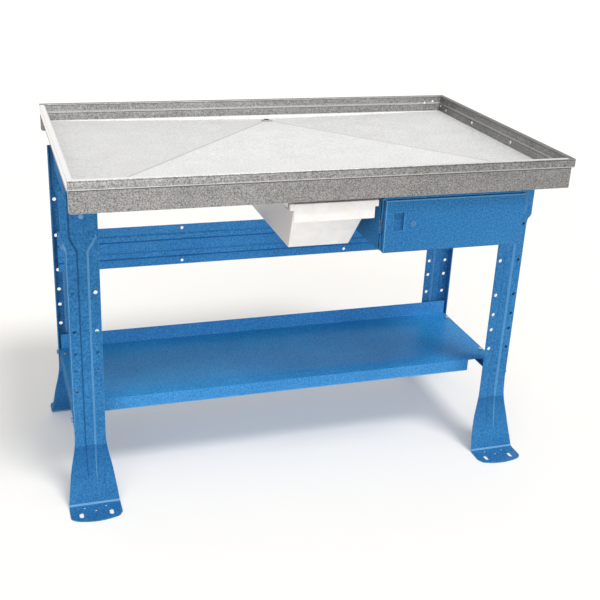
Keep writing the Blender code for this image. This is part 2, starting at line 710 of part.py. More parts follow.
def leg_rows(winged):
    """Rows of the pressed sheet from its top edge to the front of the foot plate."""
    rows = [leg_row(LEG_TOP, LEG_HALF_WIDTH, 0, 1, True, winged)]
    rows.append(leg_row(GROOVE_MOUTH_TOP, LEG_HALF_WIDTH, 0, 1, True, winged))
    heights = [GROOVE_MOUTH_BOTTOM, WING_BOTTOM, GROOVE_MOUTH_END, WING_END, FLANGE_FADE_TOP]
    rows += [leg_row(h, LEG_HALF_WIDTH, 0, 1, False, winged) for h in heights]
    plate_height = LEG_SHEET
    for height_share, width_share, reach_share in FLARE_SHARES:
        height = plate_height + height_share * (FLARE_TOP - plate_height)
        half_width = LEG_HALF_WIDTH + width_share * (FOOT_HALF_WIDTH - LEG_HALF_WIDTH)
        rows.append(leg_row(height, half_width, reach_share * FOOT_REACH, height_share, False,
                            winged))
    rows.append(leg_row(plate_height, FOOT_HALF_WIDTH, FOOT_REACH, 0, False, winged))
    plate = []
    for across, _, height in rows[-1]:
        share = min(1, abs(across) / FOOT_HALF_WIDTH)
        bulge = FOOT_PLATE_BULGE * (1 - share * share)
        plate.append((across, FOOT_REACH + FOOT_PLATE_LENGTH + bulge, height))
    middle = []
    for (across, back, height), (_, front, _) in zip(rows[-1], plate):
        middle.append((across, front - FOOT_CORNER_RADIUS, height))
    ends = (0, 1, 5, 6)
    for i in ends:
        across, front, height = plate[i]
        inward = FOOT_CORNER_RADIUS / 2 if i in (0, 5, 6) else 0
        plate[i] = (across - math.copysign(inward, across), front, height)
    rows += [middle, plate]
    return rows


def place_on_leg(side, facing, across, forward, up):
    """World place of a point given in the leg's own directions."""
    face_y = FRONT_FACE_Y if facing < 0 else REAR_FACE_Y
    return (side * (LEG_X + across), face_y + facing * forward, up)


def add_patch(mesh_data, grid):
    for upper, lower in zip(grid, grid[1:]):
        bridge(mesh_data, upper, lower, closed=False)


def thicken_grid(mesh_data, grid, thickness, facing):
    """Close a sheet behind a grid of outer points, never reaching below the floor."""
    add_patch(mesh_data, grid)
    bmesh.ops.recalc_face_normals(mesh_data, faces=mesh_data.faces)
    mesh_data.faces.ensure_lookup_table()
    if mesh_data.faces[0].normal.y * facing < 0:
        bmesh.ops.reverse_faces(mesh_data, faces=mesh_data.faces)
    mesh_data.normal_update()
    hidden = []
    for row in grid:
        points = []
        for vertex in row:
            point = vertex.co - vertex.normal * (thickness * vertex.calc_shell_factor())
            points.append((point.x, point.y, max(0, point.z)))
        hidden.append(points)
    back = [add_ring(mesh_data, points) for points in hidden]
    add_patch(mesh_data, back)
    bridge(mesh_data, grid[0], back[0], closed=False)
    bridge(mesh_data, grid[-1], back[-1], closed=False)
    for column in (0, -1):
        bridge(mesh_data, [row[column] for row in grid], [row[column] for row in back],
               closed=False)


def make_leg(name, side, facing, side_bolts, face_bolts):
    """A pressed leg; side is -1 left or 1 right, facing is -1 front, which has the wing, or 1."""
    mesh_data = bmesh.new()
    grid = []
    for row in leg_rows(facing < 0):
        grid.append(add_ring(mesh_data, [place_on_leg(side, facing, *point) for point in row]))
    thicken_grid(mesh_data, grid, LEG_SHEET, facing)
    leg = add_object(name, mesh_data, BLUE)
    holes = []
    reach = LEG_SHEET + GROOVE_DEPTH + CUT_OVERRUN
    for height in [share * LEG_TOP for share in LEG_HOLE_SHARES]:
        for across in (-LEG_HOLE_OFFSET, LEG_HOLE_OFFSET):
            holes.append((place_on_leg(side, facing, across, 0, height), "Y", reach,
                          LEG_HOLE_RADIUS))
    for across, forward in ((0, FOOT_HOLE_REACH), (FOOT_SIDE_HOLE_OFFSET, FOOT_SIDE_HOLE_REACH),
                            (-FOOT_SIDE_HOLE_OFFSET, FOOT_SIDE_HOLE_REACH)):
        holes.append((place_on_leg(side, facing, across, forward, 0), "Z",
                      LEG_SHEET + CUT_OVERRUN, FOOT_HOLE_RADIUS))
    cut_round_holes(leg, name + "_hole_cutter", holes, HOLE_SIDES)
    slots = bmesh.new()
    for across in (-ANCHOR_SLOT_OFFSET, ANCHOR_SLOT_OFFSET):
        add_anchor_slot(slots, place_on_leg(side, facing, across, ANCHOR_SLOT_REACH, 0))
    cut(leg, name + "_slot_cutter", slots)
    bolts = bolt_holes(side_bolts, reach) + bolt_holes(face_bolts, reach)
    cut_round_holes(leg, name + "_bolt_cutter", bolts, BOLT_HOLE_SIDES)
    return leg


def add_anchor_slot(mesh_data, centre):
    """An upright slot-shaped cutter, long from front to back."""
    half = ANCHOR_SLOT_LENGTH / 2
    outline = []
    for sign, first in ((1, 0.0), (-1, math.pi)):
        for k in range(HOLE_SIDES // 2 + 1):
            a = first + k * 2 * math.pi / HOLE_SIDES
            x = centre[0] + ANCHOR_SLOT_RADIUS * math.cos(a)
            y = centre[1] + sign * half + ANCHOR_SLOT_RADIUS * math.sin(a)
            outline.append((x, y))
    add_extrusion(mesh_data, outline, "Z", -CUT_OVERRUN, LEG_SHEET + CUT_OVERRUN)


def top_tab_y(facing):
    """The outer face of the top rail's end tab, against the back of a leg's flat top."""
    face_y = FRONT_FACE_Y if facing < 0 else REAR_FACE_Y
    return face_y - facing * (GROOVE_DEPTH + LEG_SHEET + FIT_GAP)


def top_bolts(side, facing):
    """The bolt through a leg's flat top and the end tab of the top rail."""
    face_y = FRONT_FACE_Y if facing < 0 else REAR_FACE_Y
    seat_y = face_y - facing * GROOVE_DEPTH
    grip = LEG_SHEET + FIT_GAP + RAIL_SHEET
    return [((side * LEG_X, seat_y, TOP_TAB_BOLT_HEIGHT), "Y", -facing, grip)]


def make_top_rail(name, side):
    """Channel from the front leg to the rear leg that carries one end of the tray."""
    web = FLANGE_INNER_X - TOP_RAIL_INSET
    top = LEG_TOP
    low = top - TOP_RAIL_HEIGHT
    inner = web - TOP_RAIL_FLANGE
    path = [(inner, low), (web, low), (web, top), (inner, top)]
    outline = [(side * x, z) for x, z in strip(path[::-1], RAIL_SHEET)]
    mesh_data = bmesh.new()
    front = top_tab_y(-1) + RAIL_SHEET / 2
    rear = top_tab_y(1) - RAIL_SHEET / 2
    add_extrusion(mesh_data, outline, "Y", front, rear)
    rail = add_object(name, mesh_data, BLUE)
    tab_low = top - TOP_TAB_HEIGHT
    for facing, tab_name in ((-1, "_front_tab"), (1, "_rear_tab")):
        y = top_tab_y(facing)
        tab_mesh = bmesh.new()
        centre = LEG_X
        x_low = centre - TOP_TAB_WIDTH / 2
        x_high = max(web, centre + TOP_TAB_WIDTH / 2)
        ys = sorted((y, y - facing * RAIL_SHEET))
        xs = sorted((side * x_low, side * x_high))
        add_box(tab_mesh, (xs[0], ys[0], tab_low), (xs[1], ys[1], top - FIT_GAP))
        tab = add_object(name + tab_name, tab_mesh, BLUE)
        hide_as_cutter(tab)
        union = rail.modifiers.new(tab_name, "BOOLEAN")
        union.operation = "UNION"
        union.solver = "EXACT"
        union.object = tab
    bolts = top_bolts(side, -1) + top_bolts(side, 1)
    cut_round_holes(rail, name + "_cutter", bolt_holes(bolts, GROOVE_DEPTH + CUT_OVERRUN
                                                       + LEG_SHEET), BOLT_HOLE_SIDES)
    return rail


def lower_bolts(side, facing):
    """The bolt through a leg's side flange and the web of the lower rail."""
    face_y = FRONT_FACE_Y if facing < 0 else REAR_FACE_Y
    y = face_y - facing * LOWER_RAIL_BOLT_REACH
    seat_x = side * (LEG_X + LEG_HALF_WIDTH + FLANGE_LEAN)
    height = SHELF_HEIGHT - LOWER_RAIL_BOLT_DROP + BOLT_HEAD_RADIUS
    grip = LEG_SHEET + FLANGE_LEAN + FIT_GAP + RAIL_SHEET + FLANGE_LEAN
    return [((seat_x, y, height), "X", -side, grip)]


def make_lower_rail(name, side):
    """Channel between the legs' side flanges that carries one end of the shelf."""
    web = FLANGE_INNER_X - FIT_GAP
    top = SHELF_HEIGHT - SHELF_SHEET - FIT_GAP
    low = top - LOWER_RAIL_HEIGHT
    path = [(web - LOWER_RAIL_RETURN, low), (web, low), (web, top),
            (web - LOWER_RAIL_FLANGE, top)]
    outline = [(side * x, z) for x, z in strip(path[::-1], RAIL_SHEET)]
    front = FRONT_FACE_Y + LEG_SHEET + GROOVE_DEPTH + FIT_GAP
    rear = REAR_FACE_Y - LEG_SHEET - GROOVE_DEPTH - FIT_GAP
    rail = extruded(name, outline, "Y", front, rear, BLUE)
    bolts = lower_bolts(side, -1) + lower_bolts(side, 1)
    holes = bolt_holes(bolts, LEG_SHEET + RAIL_SHEET + CUT_OVERRUN)
    shelf_holes = [hole for hole in bolt_holes(shelf_bolts(), SHELF_SHEET + RAIL_SHEET
                                               + CUT_OVERRUN) if hole[0][0] * side > 0]
    cut_round_holes(rail, name + "_cutter", holes + shelf_holes, BOLT_HOLE_SIDES)
    return rail


def shelf_bolts():
    """Bolts through the shelf's ends into the lower rails."""
    x = FLANGE_INNER_X - SHELF_BOLT_INSET
    grip = SHELF_SHEET + FIT_GAP + RAIL_SHEET
    bolts = []
    for side in (-1, 1):
        for y in (SHELF_REAR_Y - SHELF_BOLT_REAR, SHELF_FRONT_Y + SHELF_BOLT_FRONT):
            bolts.append(((side * x, y, SHELF_HEIGHT), "Z", -1, grip))
    return bolts


def make_shelf():
    """Flat shelf with a rear upstand and a folded front lip that stops short of the legs."""
    half = FLANGE_INNER_X - SHELF_END_GAP
    top = SHELF_HEIGHT
    rear = SHELF_REAR_Y
    front = SHELF_FRONT_Y
    deck = [(rear, top + SHELF_UPSTAND), (rear, top - SHELF_SHEET), (front, top - SHELF_SHEET)]
    shelf = extruded("lower_shelf", strip(deck, SHELF_SHEET), "X", -half, half, BLUE)
    lip_low = top - SHELF_LIP
    lip = [(front + SHELF_LIP_RETURN, top), (front, top),
           (front, lip_low), (front + SHELF_LIP_RETURN, lip_low)]
    lip_mesh = bmesh.new()
    add_extrusion(lip_mesh, strip(lip, -SHELF_SHEET), "X", -SHELF_LIP_HALF_LENGTH,
                  SHELF_LIP_HALF_LENGTH)
    lip_piece = add_object("shelf_lip_part", lip_mesh, BLUE)
    hide_as_cutter(lip_piece)
    union = shelf.modifiers.new("lip", "BOOLEAN")
    union.operation = "UNION"
    union.solver = "EXACT"
    union.object = lip_piece
    holes = bolt_holes(shelf_bolts(), SHELF_SHEET + CUT_OVERRUN)
    cut_round_holes(shelf, "shelf_cutter", holes, BOLT_HOLE_SIDES)
    return shelf


def stringer_back_y():
    """The stringer's back plane, against the inner side of the rear legs' groove."""
    return REAR_FACE_Y - GROOVE_DEPTH - LEG_SHEET - FIT_GAP


def stringer_bolts():
    """Bolts through the stringer's ends and the groove of each rear leg."""
    y = stringer_back_y() - STRINGER_SHEET
    grip = STRINGER_SHEET + FIT_GAP + LEG_SHEET
    bolts = []
    for side in (-1, 1):
        for drop in (-STRINGER_BOLT_DROP, STRINGER_BOLT_DROP):
            bolts.append(((side * LEG_X, y, STRINGER_CENTRE_HEIGHT + drop), "Y", 1, grip))
    return bolts


def make_stringer():
    """Panel with two ribs pressed forward, bolted between the rear legs."""
    back = stringer_back_y()
    flat = back - STRINGER_SHEET
    ridge = flat - STRINGER_RIB_DEPTH
    centre = STRINGER_CENTRE_HEIGHT
    path = [(flat, centre + STRINGER_HEIGHT / 2)]
    for offset in (STRINGER_RIB_OFFSET, -STRINGER_RIB_OFFSET):
        upper = centre + offset + STRINGER_RIB_HALF_WIDTH
        lower = centre + offset - STRINGER_RIB_HALF_WIDTH
        path += [(flat, upper), (ridge, upper - STRINGER_RIB_SLOPE),
                 (ridge, lower + STRINGER_RIB_SLOPE), (flat, lower)]
    path.append((flat, centre - STRINGER_HEIGHT / 2))
    outline = strip(path, -STRINGER_SHEET)
    stringer = extruded("rear_stringer", outline, "X", -STRINGER_HALF_LENGTH,
                        STRINGER_HALF_LENGTH, BLUE)
    holes = bolt_holes(stringer_bolts(), STRINGER_SHEET + CUT_OVERRUN)
    for side in (-1, 1):
        for drop in (-STRINGER_BOLT_DROP, STRINGER_BOLT_DROP):
            holes.append(((side * STRINGER_HOLE_SHARE * STRINGER_HALF_LENGTH, flat, centre + drop), "Y",
                          STRINGER_SHEET + CUT_OVERRUN, STRINGER_HOLE_RADIUS))
    cut_round_holes(stringer, "stringer_cutter", holes, BOLT_HOLE_SIDES)
    return stringer


def floor_height(y):
    """Height of the floor's front facet on the line from the front wall to the drain."""
    front = -(HALF_DEPTH - WALL_INSET - FLOOR_MARGIN)
    share = (y - front) / (DRAIN_Y - SUMP_RADIUS - front)
    return FLOOR_EDGE_HEIGHT - share * FLOOR_FALL


def make_stiffener(name, side):
    """Hat channel along the bench under the floor, resting on the end skirts' seats."""
    centre = side * STIFFENER_OFFSET
    top = floor_height(centre + STIFFENER_HALF_TOP) - TRAY_SHEET - FIT_GAP
    base = STIFFENER_BASE
    inner = centre - STIFFENER_HALF_TOP
    outer = centre + STIFFENER_HALF_TOP
    path = [(inner - STIFFENER_BRIM, base + STIFFENER_SHEET), (inner, base + STIFFENER_SHEET),
            (inner, top), (outer, top), (outer, base + STIFFENER_SHEET),
            (outer + STIFFENER_BRIM, base + STIFFENER_SHEET)]
    half = HALF_WIDTH - SKIRT_INSET - SKIRT_SHEET - STIFFENER_END_GAP
    outline = strip(path, STIFFENER_SHEET)
    stiffener = extruded(name, outline, "X", -half, half, BLUE)
    bolts = [bolt for bolt in hanger_bolts() if bolt[0][1] * side > 0]
    holes = bolt_holes(bolts, STIFFENER_SHEET + CUT_OVERRUN)
    cut_round_holes(stiffener, name + "_cutter", holes, BOLT_HOLE_SIDES)
    return stiffener


def runner_bolts():
    """Bolts through the pan runners' top flanges into the stiffeners' brims."""
    x = RUNNER_WEB_X - RUNNER_BOLT_INSET
    return hanger_bolts_at((-x, x), RUNNER_SHEET)


def housing_bolts():
    """Bolts through the drawer housing's top flanges into the stiffeners' brims."""
    inset = HOUSING_SHEET + HOUSING_FLANGE / 2
    return hanger_bolts_at((HOUSING_LEFT + inset, HOUSING_RIGHT - inset), HOUSING_SHEET)


def hanger_bolts_at(places, sheet):
    """Upward bolts at the middle of each stiffener brim that lies over the given places."""
    grip = sheet + FIT_GAP + STIFFENER_SHEET
    bolts = []
    for side in (-1, 1):
        y = side * (STIFFENER_OFFSET) - (STIFFENER_HALF_TOP + STIFFENER_BRIM / 2)
        for x in places:
            bolts.append(((x, y, HANGER_TOP - sheet), "Z", 1, grip))
    return bolts


def hanger_bolts():
    return runner_bolts() + housing_bolts()


def make_runner(name, side):
    """Channel that opens towards the pan and carries its side flange."""
    web = RUNNER_WEB_X + RUNNER_SHEET
    top = HANGER_TOP
    low = PAN_TOP_HEIGHT - PAN_FLANGE_DROP - FIT_GAP - RUNNER_SHEET
    path = [(web - RUNNER_SHEET - RUNNER_LIP, low), (web, low), (web, top),
            (web - RUNNER_SHEET - RUNNER_TOP_FLANGE, top)]
    outline = [(side * x, z) for x, z in strip(path[::-1], RUNNER_SHEET)]
    runner = extruded(name, outline, "Y", RUNNER_FRONT_Y, RUNNER_REAR_Y, BLUE)
    bolts = [bolt for bolt in runner_bolts() if bolt[0][0] * side > 0]
    cut_round_holes(runner, name + "_cutter", bolt_holes(bolts, RUNNER_SHEET + CUT_OVERRUN),
                    BOLT_HOLE_SIDES)
    return runner


def pan_rings(grow):
    """Rings of the pan's shell from its flange edge to its floor, moved out by `grow`."""
    front = PAN_FRONT_Y + PAN_FRONT_LEDGE
    rear = PAN_REAR_Y
    top = PAN_TOP_HEIGHT - (0 if grow == 0 else PAN_SHEET)
    low = PAN_BOTTOM_HEIGHT + (PAN_SHEET if grow == 0 else 0)
    half = PAN_TOP_HALF_WIDTH - (PAN_SHEET if grow == 0 else 0)
    low_half = PAN_BOTTOM_HALF_WIDTH - (PAN_SHEET if grow == 0 else 0)
    inset = PAN_SHEET if grow == 0 else 0
    mouth = (half, front + inset, rear - inset, top)
    bottom = (low_half, front + PAN_FRONT_SLOPE + inset, rear - PAN_REAR_SLOPE - inset, low)
    return mouth, bottom


def pan_ring(mesh_data, half, front, rear, height):
    return add_ring(mesh_data, [(-half, front, height), (half, front, height),
                                (half, rear, height), (-half, rear, height)])


def make_drip_pan():
    """Tapered pan with a sloping front, turned-down side flanges and a pull lip."""
    mesh_data = bmesh.new()
    inner_mouth, inner_low = pan_rings(0)
    outer_mouth, outer_low = pan_rings(PAN_SHEET)
    top = PAN_TOP_HEIGHT
    under = top - PAN_SHEET
    edge_low = top - PAN_FLANGE_DROP
    half = PAN_FLANGE_HALF_WIDTH
    front = PAN_FRONT_Y + PAN_SHEET + FIT_GAP
    rear = PAN_REAR_Y + FIT_GAP + PAN_SHEET
    rings = [
        pan_ring(mesh_data, *inner_low),
        pan_ring(mesh_data, *inner_mouth),
        pan_ring(mesh_data, half, front, rear, top),
        pan_ring(mesh_data, half, front, rear, edge_low),
        pan_ring(mesh_data, half - PAN_SHEET, front + PAN_SHEET, rear - PAN_SHEET, edge_low),
        pan_ring(mesh_data, half - PAN_SHEET, front + PAN_SHEET, rear - PAN_SHEET, under),
        pan_ring(mesh_data, *outer_mouth),
        pan_ring(mesh_data, *outer_low),
    ]
    for ring, following in zip(rings, rings[1:]):
        bridge(mesh_data, ring, following)
    cap(mesh_data, rings[0])
    cap(mesh_data, rings[-1])
    pan = add_object("drip_pan", mesh_data, GALVANISED)
    lip_mesh = bmesh.new()
    lip_low = top - PAN_LIP_DROP
    add_box(lip_mesh, (-PAN_LIP_HALF_WIDTH, PAN_FRONT_Y, lip_low),
            (PAN_LIP_HALF_WIDTH, front + PAN_SHEET / 2, top))
    lip = add_object("pan_lip_part", lip_mesh, GALVANISED)
    hide_as_cutter(lip)
    union = pan.modifiers.new("lip", "BOOLEAN")
    union.operation = "UNION"
    union.solver = "EXACT"
    union.object = lip
    return pan


def make_housing():
    """Open-fronted case for the drawer, hung from the stiffeners by its top flanges."""
    left, right = HOUSING_LEFT, HOUSING_RIGHT
    low, top = HOUSING_BOTTOM, HANGER_TOP
    path = [(left + HOUSING_SHEET + HOUSING_FLANGE, top), (left, top), (left, low),
            (right, low), (right, top), (right - HOUSING_SHEET - HOUSING_FLANGE, top)]
    outline = strip(path, -HOUSING_SHEET)
    mesh_data = bmesh.new()
    add_extrusion(mesh_data, outline, "Y", HOUSING_FRONT_Y, HOUSING_BACK_Y)
    housing = add_object("drawer_housing", mesh_data, BLUE)
    back = bmesh.new()
    add_box(back, (left + HOUSING_SHEET / 2, HOUSING_BACK_Y - HOUSING_SHEET,
                   low + HOUSING_SHEET / 2),
            (right - HOUSING_SHEET / 2, HOUSING_BACK_Y + HOUSING_SHEET, top - HOUSING_SHEET / 2))
    rail_low = DRAWER_FRONT_TOP + HOUSING_RAIL_GAP
    rail_front = HOUSING_FRONT_Y - HOUSING_RAIL_STANDOFF
    rail_path = [(HOUSING_FRONT_Y + HOUSING_FLANGE, top), (rail_front, top), (rail_front, rail_low)]
    rail = bmesh.new()
    add_extrusion(rail, strip(rail_path, -HOUSING_SHEET), "X", left, right)
    for name, part in (("housing_back_part", back), ("housing_rail_part", rail)):
        extra = add_object(name, part, BLUE)
        hide_as_cutter(extra)
        union = housing.modifiers.new(name, "BOOLEAN")
        union.operation = "UNION"
        union.solver = "EXACT"
        union.object = extra
    cut_round_holes(housing, "housing_cutter",
                    bolt_holes(housing_bolts(), HOUSING_SHEET + CUT_OVERRUN), BOLT_HOLE_SIDES)
    return housing


def make_slides():
    """Outer channels on the housing walls and the bars that slide inside them."""
    depth = SLIDE_DEPTH
    half = SLIDE_HEIGHT / 2
    centre = SLIDE_CENTRE_HEIGHT
    front = HOUSING_FRONT_Y
    rear = HOUSING_FRONT_Y + BOX_DEPTH
    bar_half = half - SLIDE_SHEET - SLIDE_BAR_CLEARANCE
    for side_name, wall, inward in (("left", HOUSING_LEFT + HOUSING_SHEET + FIT_GAP, 1),
                                    ("right", HOUSING_RIGHT - HOUSING_SHEET - FIT_GAP, -1)):
        reach = depth - BOX_SHEET
        path = [(reach, centre + half - SLIDE_LIP), (reach, centre + half), (0, centre + half),
                (0, centre - half), (reach, centre - half), (reach, centre - half + SLIDE_LIP)]
        outline = [(wall + inward * x, z) for x, z in strip(path, -SLIDE_SHEET)]
        extruded("slide_channel_" + side_name, outline, "Y", front, rear, ZINC)
        near = SLIDE_SHEET + SLIDE_BAR_CLEARANCE
        neck = half - SLIDE_LIP - SLIDE_BAR_CLEARANCE
        wide = depth - BOX_SHEET - SLIDE_SHEET - SLIDE_BAR_CLEARANCE
        bar = [(near, centre - bar_half), (wide, centre - bar_half), (wide, centre - neck),
               (depth, centre - neck), (depth, centre + neck), (wide, centre + neck),
               (wide, centre + bar_half), (near, centre + bar_half)]
        bar_outline = [(wall + inward * x, z) for x, z in bar]
        extruded("slide_bar_" + side_name, bar_outline, "Y", front, rear, ZINC)


def make_drawer_box():
    """Drawer body between the slide bars; the folded front panel closes it."""
    left = HOUSING_LEFT + BOX_SIDE_GAP
    right = HOUSING_RIGHT - BOX_SIDE_GAP
    low = HOUSING_BOTTOM + BOX_FLOOR_RISE
    top = low + BOX_HEIGHT
    front = DRAWER_FRONT_BACK_Y + FIT_GAP
    rear = HOUSING_FRONT_Y + BOX_DEPTH
    path = [(left, top), (left, low), (right, low), (right, top)]
    box = extruded("drawer_box", strip(path, -BOX_SHEET), "Y", front, rear, BLUE)
    back = bmesh.new()
    add_box(back, (left + BOX_SHEET / 2, rear - BOX_SHEET, low + BOX_SHEET / 2),
            (right - BOX_SHEET / 2, rear + BOX_SHEET, top - BOX_SHEET))
    back_piece = add_object("drawer_back_part", back, BLUE)
    hide_as_cutter(back_piece)
    union = box.modifiers.new("back", "BOOLEAN")
    union.operation = "UNION"
    union.solver = "EXACT"
    union.object = back_piece
    return box


def make_drawer_front():
    """Folded front panel with deep returns, a pull opening and a lock hole."""
    left = DRAWER_FRONT_LEFT
    right = left + DRAWER_FRONT_WIDTH
    low = DRAWER_FRONT_BOTTOM
    top = DRAWER_FRONT_TOP
    face = DRAWER_FRONT_Y
    back = DRAWER_FRONT_BACK_Y
    t = DRAWER_FRONT_SHEET
    bevel = DRAWER_EDGE_BEVEL
    mesh_data = bmesh.new()

    def ring(inset, y):
        return add_ring(mesh_data, [(left + inset, y, low + inset), (right - inset, y, low + inset),
                                    (right - inset, y, top - inset), (left + inset, y, top - inset)])

    rings = [ring(bevel, face), ring(0, face + bevel), ring(0, back), ring(DRAWER_HEM + t, back),
             ring(DRAWER_HEM + t, back - t), ring(t, back - t), ring(t, face + bevel),
             ring(bevel, face + t)]
    for first, second in zip(rings, rings[1:]):
        bridge(mesh_data, first, second)
    cap(mesh_data, rings[0])
    cap(mesh_data, rings[-1])
    front = add_object("drawer_front", mesh_data, BLUE)
    pull = bmesh.new()
    x, z = left + PULL_LEFT, low + PULL_RISE
    add_box(pull, (x - FIT_GAP, face - CUT_OVERRUN, z - FIT_GAP),
            (x + PULL_WIDTH + FIT_GAP, face + CUT_OVERRUN, z + PULL_HEIGHT + FIT_GAP))
    cut(front, "pull_cutter", pull)
    hole = [((LOCK_X, face, LOCK_HEIGHT), "Y", CUT_OVERRUN, LOCK_RADIUS + FIT_GAP)]
    cut_round_holes(front, "lock_cutter", hole, LOCK_SIDES)
    return front


def make_pull():
    """Flush finger pull: a shallow cup with a thin flange on the panel's face."""
    x = DRAWER_FRONT_LEFT + PULL_LEFT
    z = DRAWER_FRONT_BOTTOM + PULL_RISE
    face = DRAWER_FRONT_Y
    t = PULL_SHEET
    mesh_data = bmesh.new()

    def ring(inset, y):
        return add_ring(mesh_data, [(x + inset, y, z + inset),
                                    (x + PULL_WIDTH - inset, y, z + inset),
                                    (x + PULL_WIDTH - inset, y, z + PULL_HEIGHT - inset),
                                    (x + inset, y, z + PULL_HEIGHT - inset)])

    front_face = face - FIT_GAP - t
    rings = [ring(t, face + PULL_CUP_DEPTH - t), ring(t, front_face), ring(-PULL_FLANGE, front_face),
             ring(-PULL_FLANGE, face - FIT_GAP), ring(0, face - FIT_GAP),
             ring(0, face + PULL_CUP_DEPTH)]
    for first, second in zip(rings, rings[1:]):
        bridge(mesh_data, first, second)
    cap(mesh_data, rings[0])
    cap(mesh_data, rings[-1])
    return add_object("drawer_pull", mesh_data, BLUE)


def make_lock():
    """Lock barrel turning in the panel, and the long cam on its stub."""
    face = DRAWER_FRONT_Y
    cam_front = DRAWER_FRONT_BACK_Y + CAM_GAP
    barrel_back = cam_front - FIT_GAP - face
    head_front = -FIT_GAP - LOCK_HEAD_THICKNESS
    stub_back = barrel_back + FIT_GAP + CAM_THICKNESS + FIT_GAP
    steps = [(LOCK_HEAD_RADIUS, head_front), (LOCK_HEAD_RADIUS, -FIT_GAP),
             (LOCK_RADIUS, -FIT_GAP), (LOCK_RADIUS, barrel_back),
             (LOCK_STUB_RADIUS, barrel_back), (LOCK_STUB_RADIUS, stub_back)]
    mesh_data = bmesh.new()
    add_stack(mesh_data, steps, LOCK_SIDES, (0, 0, 0), "Y")
    barrel = add_object("lock_barrel", mesh_data, ZINC)
    barrel.location = (LOCK_X, face, LOCK_HEIGHT)
    slot = bmesh.new()
    add_box(slot, (-LOCK_KEYWAY_WIDTH / 2, head_front - CUT_OVERRUN, -LOCK_KEYWAY_HEIGHT / 2),
            (LOCK_KEYWAY_WIDTH / 2, head_front + LOCK_KEYWAY_DEPTH, LOCK_KEYWAY_HEIGHT / 2))
    cut(barrel, "keyway_cutter", slot)
    bpy.data.objects["keyway_cutter"].location = barrel.location

    outline = []
    half = CAM_WIDTH / 2
    for k in range(LOCK_SIDES // 2 + 1):
        a = math.pi / 2 + k * 2 * math.pi / LOCK_SIDES
        outline.append((half * math.cos(a), half * math.sin(a)))
    outline += [(CAM_LENGTH - half, -half), (CAM_LENGTH, -half / 2),
                (CAM_LENGTH, half / 2), (CAM_LENGTH - half, half)]
    mesh_data = bmesh.new()
    add_extrusion(mesh_data, outline, "Y", 0, CAM_THICKNESS)
    cam = add_object("lock_cam", mesh_data, ZINC)
    cam.location = (LOCK_X, cam_front, LOCK_HEIGHT)
    hole = [((0, 0, 0), "Y", CUT_OVERRUN, LOCK_STUB_RADIUS + FIT_GAP)]
    cut_round_holes(cam, "cam_cutter", hole, LOCK_SIDES)
    bpy.data.objects["cam_cutter"].location = cam.location


def carry(empty_name, place, pieces):
    """Parent pieces to an empty on their joint's axis without moving them."""
    empty = bpy.data.objects.new(empty_name, None)
    empty.location = place
    bpy.context.collection.objects.link(empty)
    for name in pieces:
        piece = bpy.data.objects[name]
        piece.parent = empty
        piece.matrix_parent_inverse = Matrix.Translation(Vector(place)).inverted()


def shade_round_pieces(names):
    for name in names:
        mesh = bpy.data.objects[name].data
        mesh.shade_smooth()
        mesh.set_sharp_from_angle(angle=math.radians(35))


def build():
    clear_scene()
    make_tray_floor()
    make_tray_rim()
    make_wall_screws()
    make_apron()
    make_drain()
    corners = (("front_left", -1, -1), ("front_right", 1, -1),
               ("rear_left", -1, 1), ("rear_right", 1, 1))
    for corner, side, facing in corners:
        extra = [bolt for bolt in stringer_bolts() if bolt[0][0] * side > 0 and facing > 0]
        make_leg("leg_" + corner, side, facing, lower_bolts(side, facing),
                 top_bolts(side, facing) + extra)
    for name, side in (("left", -1), ("right", 1)):
        make_top_rail("top_rail_" + name, side)
        make_lower_rail("lower_rail_" + name, side)
        make_runner("pan_runner_" + name, side)
    make_shelf()
    make_stringer()
    make_stiffener("tray_stiffener_front", -1)
    make_stiffener("tray_stiffener_rear", 1)
    make_drip_pan()
    make_housing()
    make_slides()
    make_drawer_box()
    make_drawer_front()
    make_pull()
    make_lock()
    make_bolts("top_rail_bolt", [b for _, s, f in corners for b in top_bolts(s, f)])
    make_bolts("lower_rail_bolt", [b for _, s, f in corners for b in lower_bolts(s, f)])
    make_bolts("shelf_bolt", shelf_bolts())
    make_bolts("stringer_bolt", stringer_bolts())
    make_bolts("runner_bolt", runner_bolts())
    make_bolts("housing_bolt", housing_bolts())
    carry("pan_slide_axis", (0, PAN_FRONT_Y, PAN_TOP_HEIGHT), ["drip_pan"])
    carry("drawer_slide_axis", (DRAWER_FRONT_LEFT + DRAWER_FRONT_WIDTH / 2, DRAWER_FRONT_Y,
                                SLIDE_CENTRE_HEIGHT),
          ["drawer_box", "drawer_front", "drawer_pull", "slide_bar_left", "slide_bar_right"])
    shade_round_pieces(["drain_tube", "drain_strainer", "drain_gasket", "lock_barrel"])


build()
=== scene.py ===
"""Looks of the drain bench: rounded sheet metal, finishes and small hardware on its CAD frame."""
import math

import bmesh
import bpy
from mathutils import Matrix, Vector


